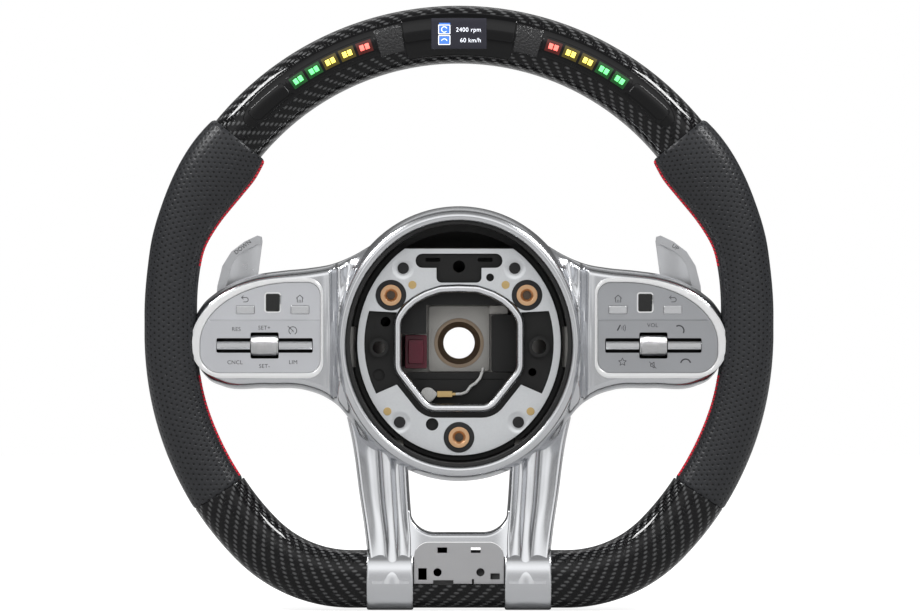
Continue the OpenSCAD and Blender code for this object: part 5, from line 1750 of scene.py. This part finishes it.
    def talker(self, at: Pair) -> None:
        """Three sound waves beside a short bar."""
        self.line("voice_bar", [[-2.4, -1.6], [-0.6, 1.8]], at, 0.8)
        for i, reach in enumerate((1.4, 2.4, 3.4), 1):
            self.line(f"voice_wave_{i}", arc((at[0] - 1.0, at[1]), reach, -35, 35, 10), width=0.35)


@dataclass
class Hub:
    """The pressed plate and everything that sits in the open hub."""

    bead_y: float = -46.4
    corner: float = 8.0
    half_window: Curve = ((0, 22.4), (9.5, 22), (15.8, 19.8), (20.6, 17.1), (23.7, 14.4),
                          (26.1, 11.2), (26.1, -12), (13.5, -28))
    bead_out: float = 2.3
    bead_half: float = 2.5
    bead_rise: Pair = (2.6, 1.6)

    def build(self, frame: dict) -> None:
        """Dresses the CAD nodes of the hub, the skeleton and the core, and adds the bead."""
        for node, finish, edge in (
                ("horn_plate", ZINC, 0.35), ("contact_carrier", HUB_BLACK, 0.25),
                ("carrier_lip", HUB_BLACK, 0.3), ("carrier_shelf", HUB_BLACK, 0.2),
                ("hub_liner", HUB_BLACK, 0.3), ("guide_bushes", COPPER, 0.25),
                ("bush_sleeves", RUBBER, 0.3), ("contact_rivets", CONTACT, 0.2),
                ("rubber_buffers", RUBBER, 0.4), ("control_units", HUB_BLACK, 0.4),
                ("connector_block", MAROON, 0.4), ("lead_terminal", CONTACT, 0.2),
                ("lead_cap", WHITE, 0.6), ("horn_lead", WHITE, 0.0), ("armature", CAST, 0.3),
                ("hub_insert", BORE, 0.2), ("bush_ribs", CAST, 0.3), ("bush_posts", CAST, 0.3),
                ("side_arms", CAST, 0.3), ("low_arms", CAST, 0.3), ("rim_hoop", CAST, 0.0),
                ("cover_screws", DARK_STEEL, 0.3), ("badge_plate", BADGE, 0.15),
                ("rim_core", FOAM, 0.0)):
            CadPiece(node, finish, edge).build(frame)
        self.window_bead()

    def window_outline(self, grow: float) -> Array:
        """Outline of the plate's window: the CAD polygon, rounded by an offset."""
        half = np.array(self.half_window, float)
        corners = np.vstack([half * (-1, 1), half[:0:-1]])
        parts = []
        for a, b, c in zip(np.roll(corners, 1, 0), corners, np.roll(corners, -1, 0)):
            start, end = (math.degrees(math.atan2(*way[::-1])) - 90 for way in (b - a, c - b))
            turn = (end - start + 180) % 360 - 180
            parts.append(arc(b, self.corner + grow, start, start + turn, 14))
        return resampled(np.vstack(parts), 0.8)

    def window_bead(self) -> None:
        """The rolled edge of the window: a half-round bead carried along its outline."""
        line = self.window_outline(self.bead_out)
        around = np.linspace(0, 2 * np.pi, 25)
        across = self.bead_half * np.cos(around)
        ahead = np.where(np.sin(around) > 0, *self.bead_rise) * np.sin(around)
        flat = line[:, None] + outward(line)[:, None] * across[None, :, None]
        y = np.broadcast_to(self.bead_y - ahead, flat.shape[:2])
        grid = np.stack([flat[..., 0], y, flat[..., 1]], -1)
        build("window_bead", np.concatenate([grid, grid[:1]]), BRIGHT_ZINC, body="horn_plate",
              nodes=("plate_bead",), crease=60)


@dataclass
class Paddles:
    """The two shift paddles with their brackets, pins and words."""

    word_at: Pair = (127.5, 56.2)
    word_depth: float = -44.62
    word_turn: float = 38.0

    def build(self, frame: dict) -> None:
        """Dresses both paddles with what carries them, and prints their words."""
        CadPiece("paddle_brackets", COVER, 0.4).build(frame)
        CadPiece("paddle_pins", DARK_STEEL, 0.2).build(frame)
        for (side, word), sign in zip(SIDES, ("DOWN", "UP")):
            CadPiece(f"paddle_{word}", PADDLE, 0.6, 3).build(frame)
            Legend(sign, 3.4, (side * self.word_at[0], self.word_at[1]), self.word_depth, INK,
                   turn=side * self.word_turn,
                   thick=0.16).build(f"paddle_word_{word}", f"paddle_{word}")


# ---------------------------------------------------------------- stage


@dataclass
class Studio:
    """Plain floor, soft lights and the camera of the photograph."""

    path: RimPath
    eye: Pair = (0.6, 21.9)
    distance: float = 3000.0
    width_seen: float = 541.9
    sensor: float = 36.0
    lit_level: float = 0.55
    aim: tuple[float, float, float] = (0.0, -0.05, 0.02)
    floor_drop: float = 1.3
    floor_size: tuple[float, float, float] = (3000.0, 3400.0, 3000.0)
    floor_glow: float = 0.8

    def build(self) -> None:
        """Makes the camera, the world, the lamps and the floor."""
        scene = bpy.context.scene
        scene.view_settings.view_transform = "Standard"
        lens = bpy.data.cameras.new("camera")
        lens.sensor_width = self.sensor
        lens.lens = self.sensor * self.distance / self.width_seen
        lens.clip_end = 20.0
        camera = bpy.data.objects.new("camera", lens)
        camera.location = Vector((self.eye[0], -self.path.ahead - self.distance, self.eye[1])) * MM
        camera.rotation_euler = (math.radians(90), 0, 0)
        scene.collection.objects.link(camera)
        scene.camera = camera
        self.world(scene)
        self.lamps(scene)
        self.floor(scene)

    def world(self, scene: bpy.types.Scene) -> None:
        """Even grey light on the object, plain white for what looks past it.

        Mirror-like metal sees a soft studio: white in front with a duller middle, light above
        and grey at the sides and below, by the forward and the upward part of the direction
        that it looks in.
        """
        world = bpy.data.worlds.new("studio")
        graph = Graph.blank(world)
        ray = graph.node("LightPath").outputs
        seen = graph.plus(ray["Is Camera Ray"], ray["Is Transmission Ray"], clamp=True)
        way = graph.split(graph.node("TexCoord").outputs["Generated"])
        forward = graph.times(way[1], -1.0)
        white = graph.plus(graph.ramp(forward, 0.45, 0.93, 0.0, 0.88), 0.12)
        duller = graph.ramp(forward, 0.94, 0.998, 0.0, 0.4)
        above = graph.ramp(way[2], 0.2, 0.95, 0.0, 0.2)
        level = graph.plus(graph.minus(white, duller), above, clamp=True)
        studio = graph.node("CombineColor")
        for socket in studio.inputs:
            graph.feed(socket, level)
        plain = graph.blend(ray["Is Glossy Ray"], (self.lit_level,) * 3, studio.outputs[0])
        back = graph.give(graph.node("Background"), Color=graph.blend(seen, plain, (1.0,) * 3))
        graph.give(graph.node("OutputWorld"), Surface=back.outputs[0])
        scene.world = world

    def lamps(self, scene: bpy.types.Scene) -> None:
        """Soft boxes: above in front, at both sides, behind, and two small ones for the edges."""
        for name, place_at, size, power in (
                ("key", (-0.1, -1.7, 1.3), (3.0, 1.5), 6.0),
                ("left", (-1.9, -1.1, 0.4), (0.3, 2.0), 1.5),
                ("right", (1.9, -1.1, 0.4), (0.3, 2.0), 1.5),
                ("behind", (0.0, 1.2, 1.2), (1.6, 0.6), 1.5),
                ("edge_left", (-1.25, -0.5, 1.4), (0.4, 0.4), 20.0),
                ("edge_right", (1.25, -0.5, 1.4), (0.4, 0.4), 20.0)):
            data = bpy.data.lights.new(name, "AREA")
            data.shape, data.size, data.size_y, data.energy = "RECTANGLE", *size, power
            lamp = bpy.data.objects.new(name, data)
            lamp.location = place_at
            way = Vector(self.aim) - Vector(place_at)
            lamp.rotation_euler = way.to_track_quat("-Z", "Y").to_euler()
            scene.collection.objects.link(lamp)

    def floor(self, scene: bpy.types.Scene) -> None:
        """A pale floor under the rim that keeps the shadow and looks white from the camera."""
        z, (wide, front, back) = self.path.floor - self.floor_drop, self.floor_size
        corners = np.array([[-wide, -front, z], [wide, -front, z], [wide, back, z],
                            [-wide, back, z]])
        mesh = bpy.data.meshes.new("floor")
        mesh.from_pydata((corners * MM).tolist(), [], [(0, 1, 2, 3)])
        made = bpy.data.materials.new("floor")
        graph = Graph.blank(made)
        ray = graph.node("LightPath").outputs["Is Camera Ray"]
        shader = graph.give(graph.node("BsdfPrincipled"), Base_Color=(0.5, 0.5, 0.5),
                            Roughness=0.9, Specular_IOR_Level=0.0, Emission_Color=(1, 1, 1),
                            Emission_Strength=graph.times(ray, self.floor_glow))
        graph.give(graph.node("OutputMaterial"), Surface=shader.outputs[0])
        mesh.materials.append(made)
        floor = bpy.data.objects.new("floor", mesh)
        scene.collection.objects.link(floor)


def main() -> None:
    """Builds every sub-assembly around the frame, in order."""
    logging.basicConfig(level=logging.INFO, format="%(name)s: %(message)s")
    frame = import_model()
    path, upper = RimPath(), UpperTrim()
    lower = LowerTrim(path, upper.oval)
    left_words = (("SET+", -114.3, 9.5), ("SET-", -114.3, -13.0), ("RES", -130.8, 8.7),
                  ("CNCL", -131.6, -10.8), ("LIM", -97.4, -10.7))
    jobs = [
        ("studio", Studio(path).build),
        ("carbon rim", CarbonRim(path).build),
        *((f"{word} grip", LeatherGrip(path, side, word).build) for side, word in SIDES),
        ("display strip", DisplayStrip(path).build),
        ("upper trim", upper.build),
        ("lower trim", lower.build),
        ("back covers", BackCover(upper, lower).build),
        ("hub", lambda: Hub().build(frame)),
        ("both pods", lambda: SwitchPod.shared(frame)),
        ("left pod", lambda: SwitchPod(-1, "left", left_words).build(frame)),
        ("right pod", lambda: SwitchPod(1, "right", (("VOL", 113.7, 11.0),)).build(frame)),
        ("paddles", lambda: Paddles().build(frame)),
    ]
    for name, job in jobs:
        LOG.info("building %s", name)
        job()


if __name__ == "__main__":
    main()
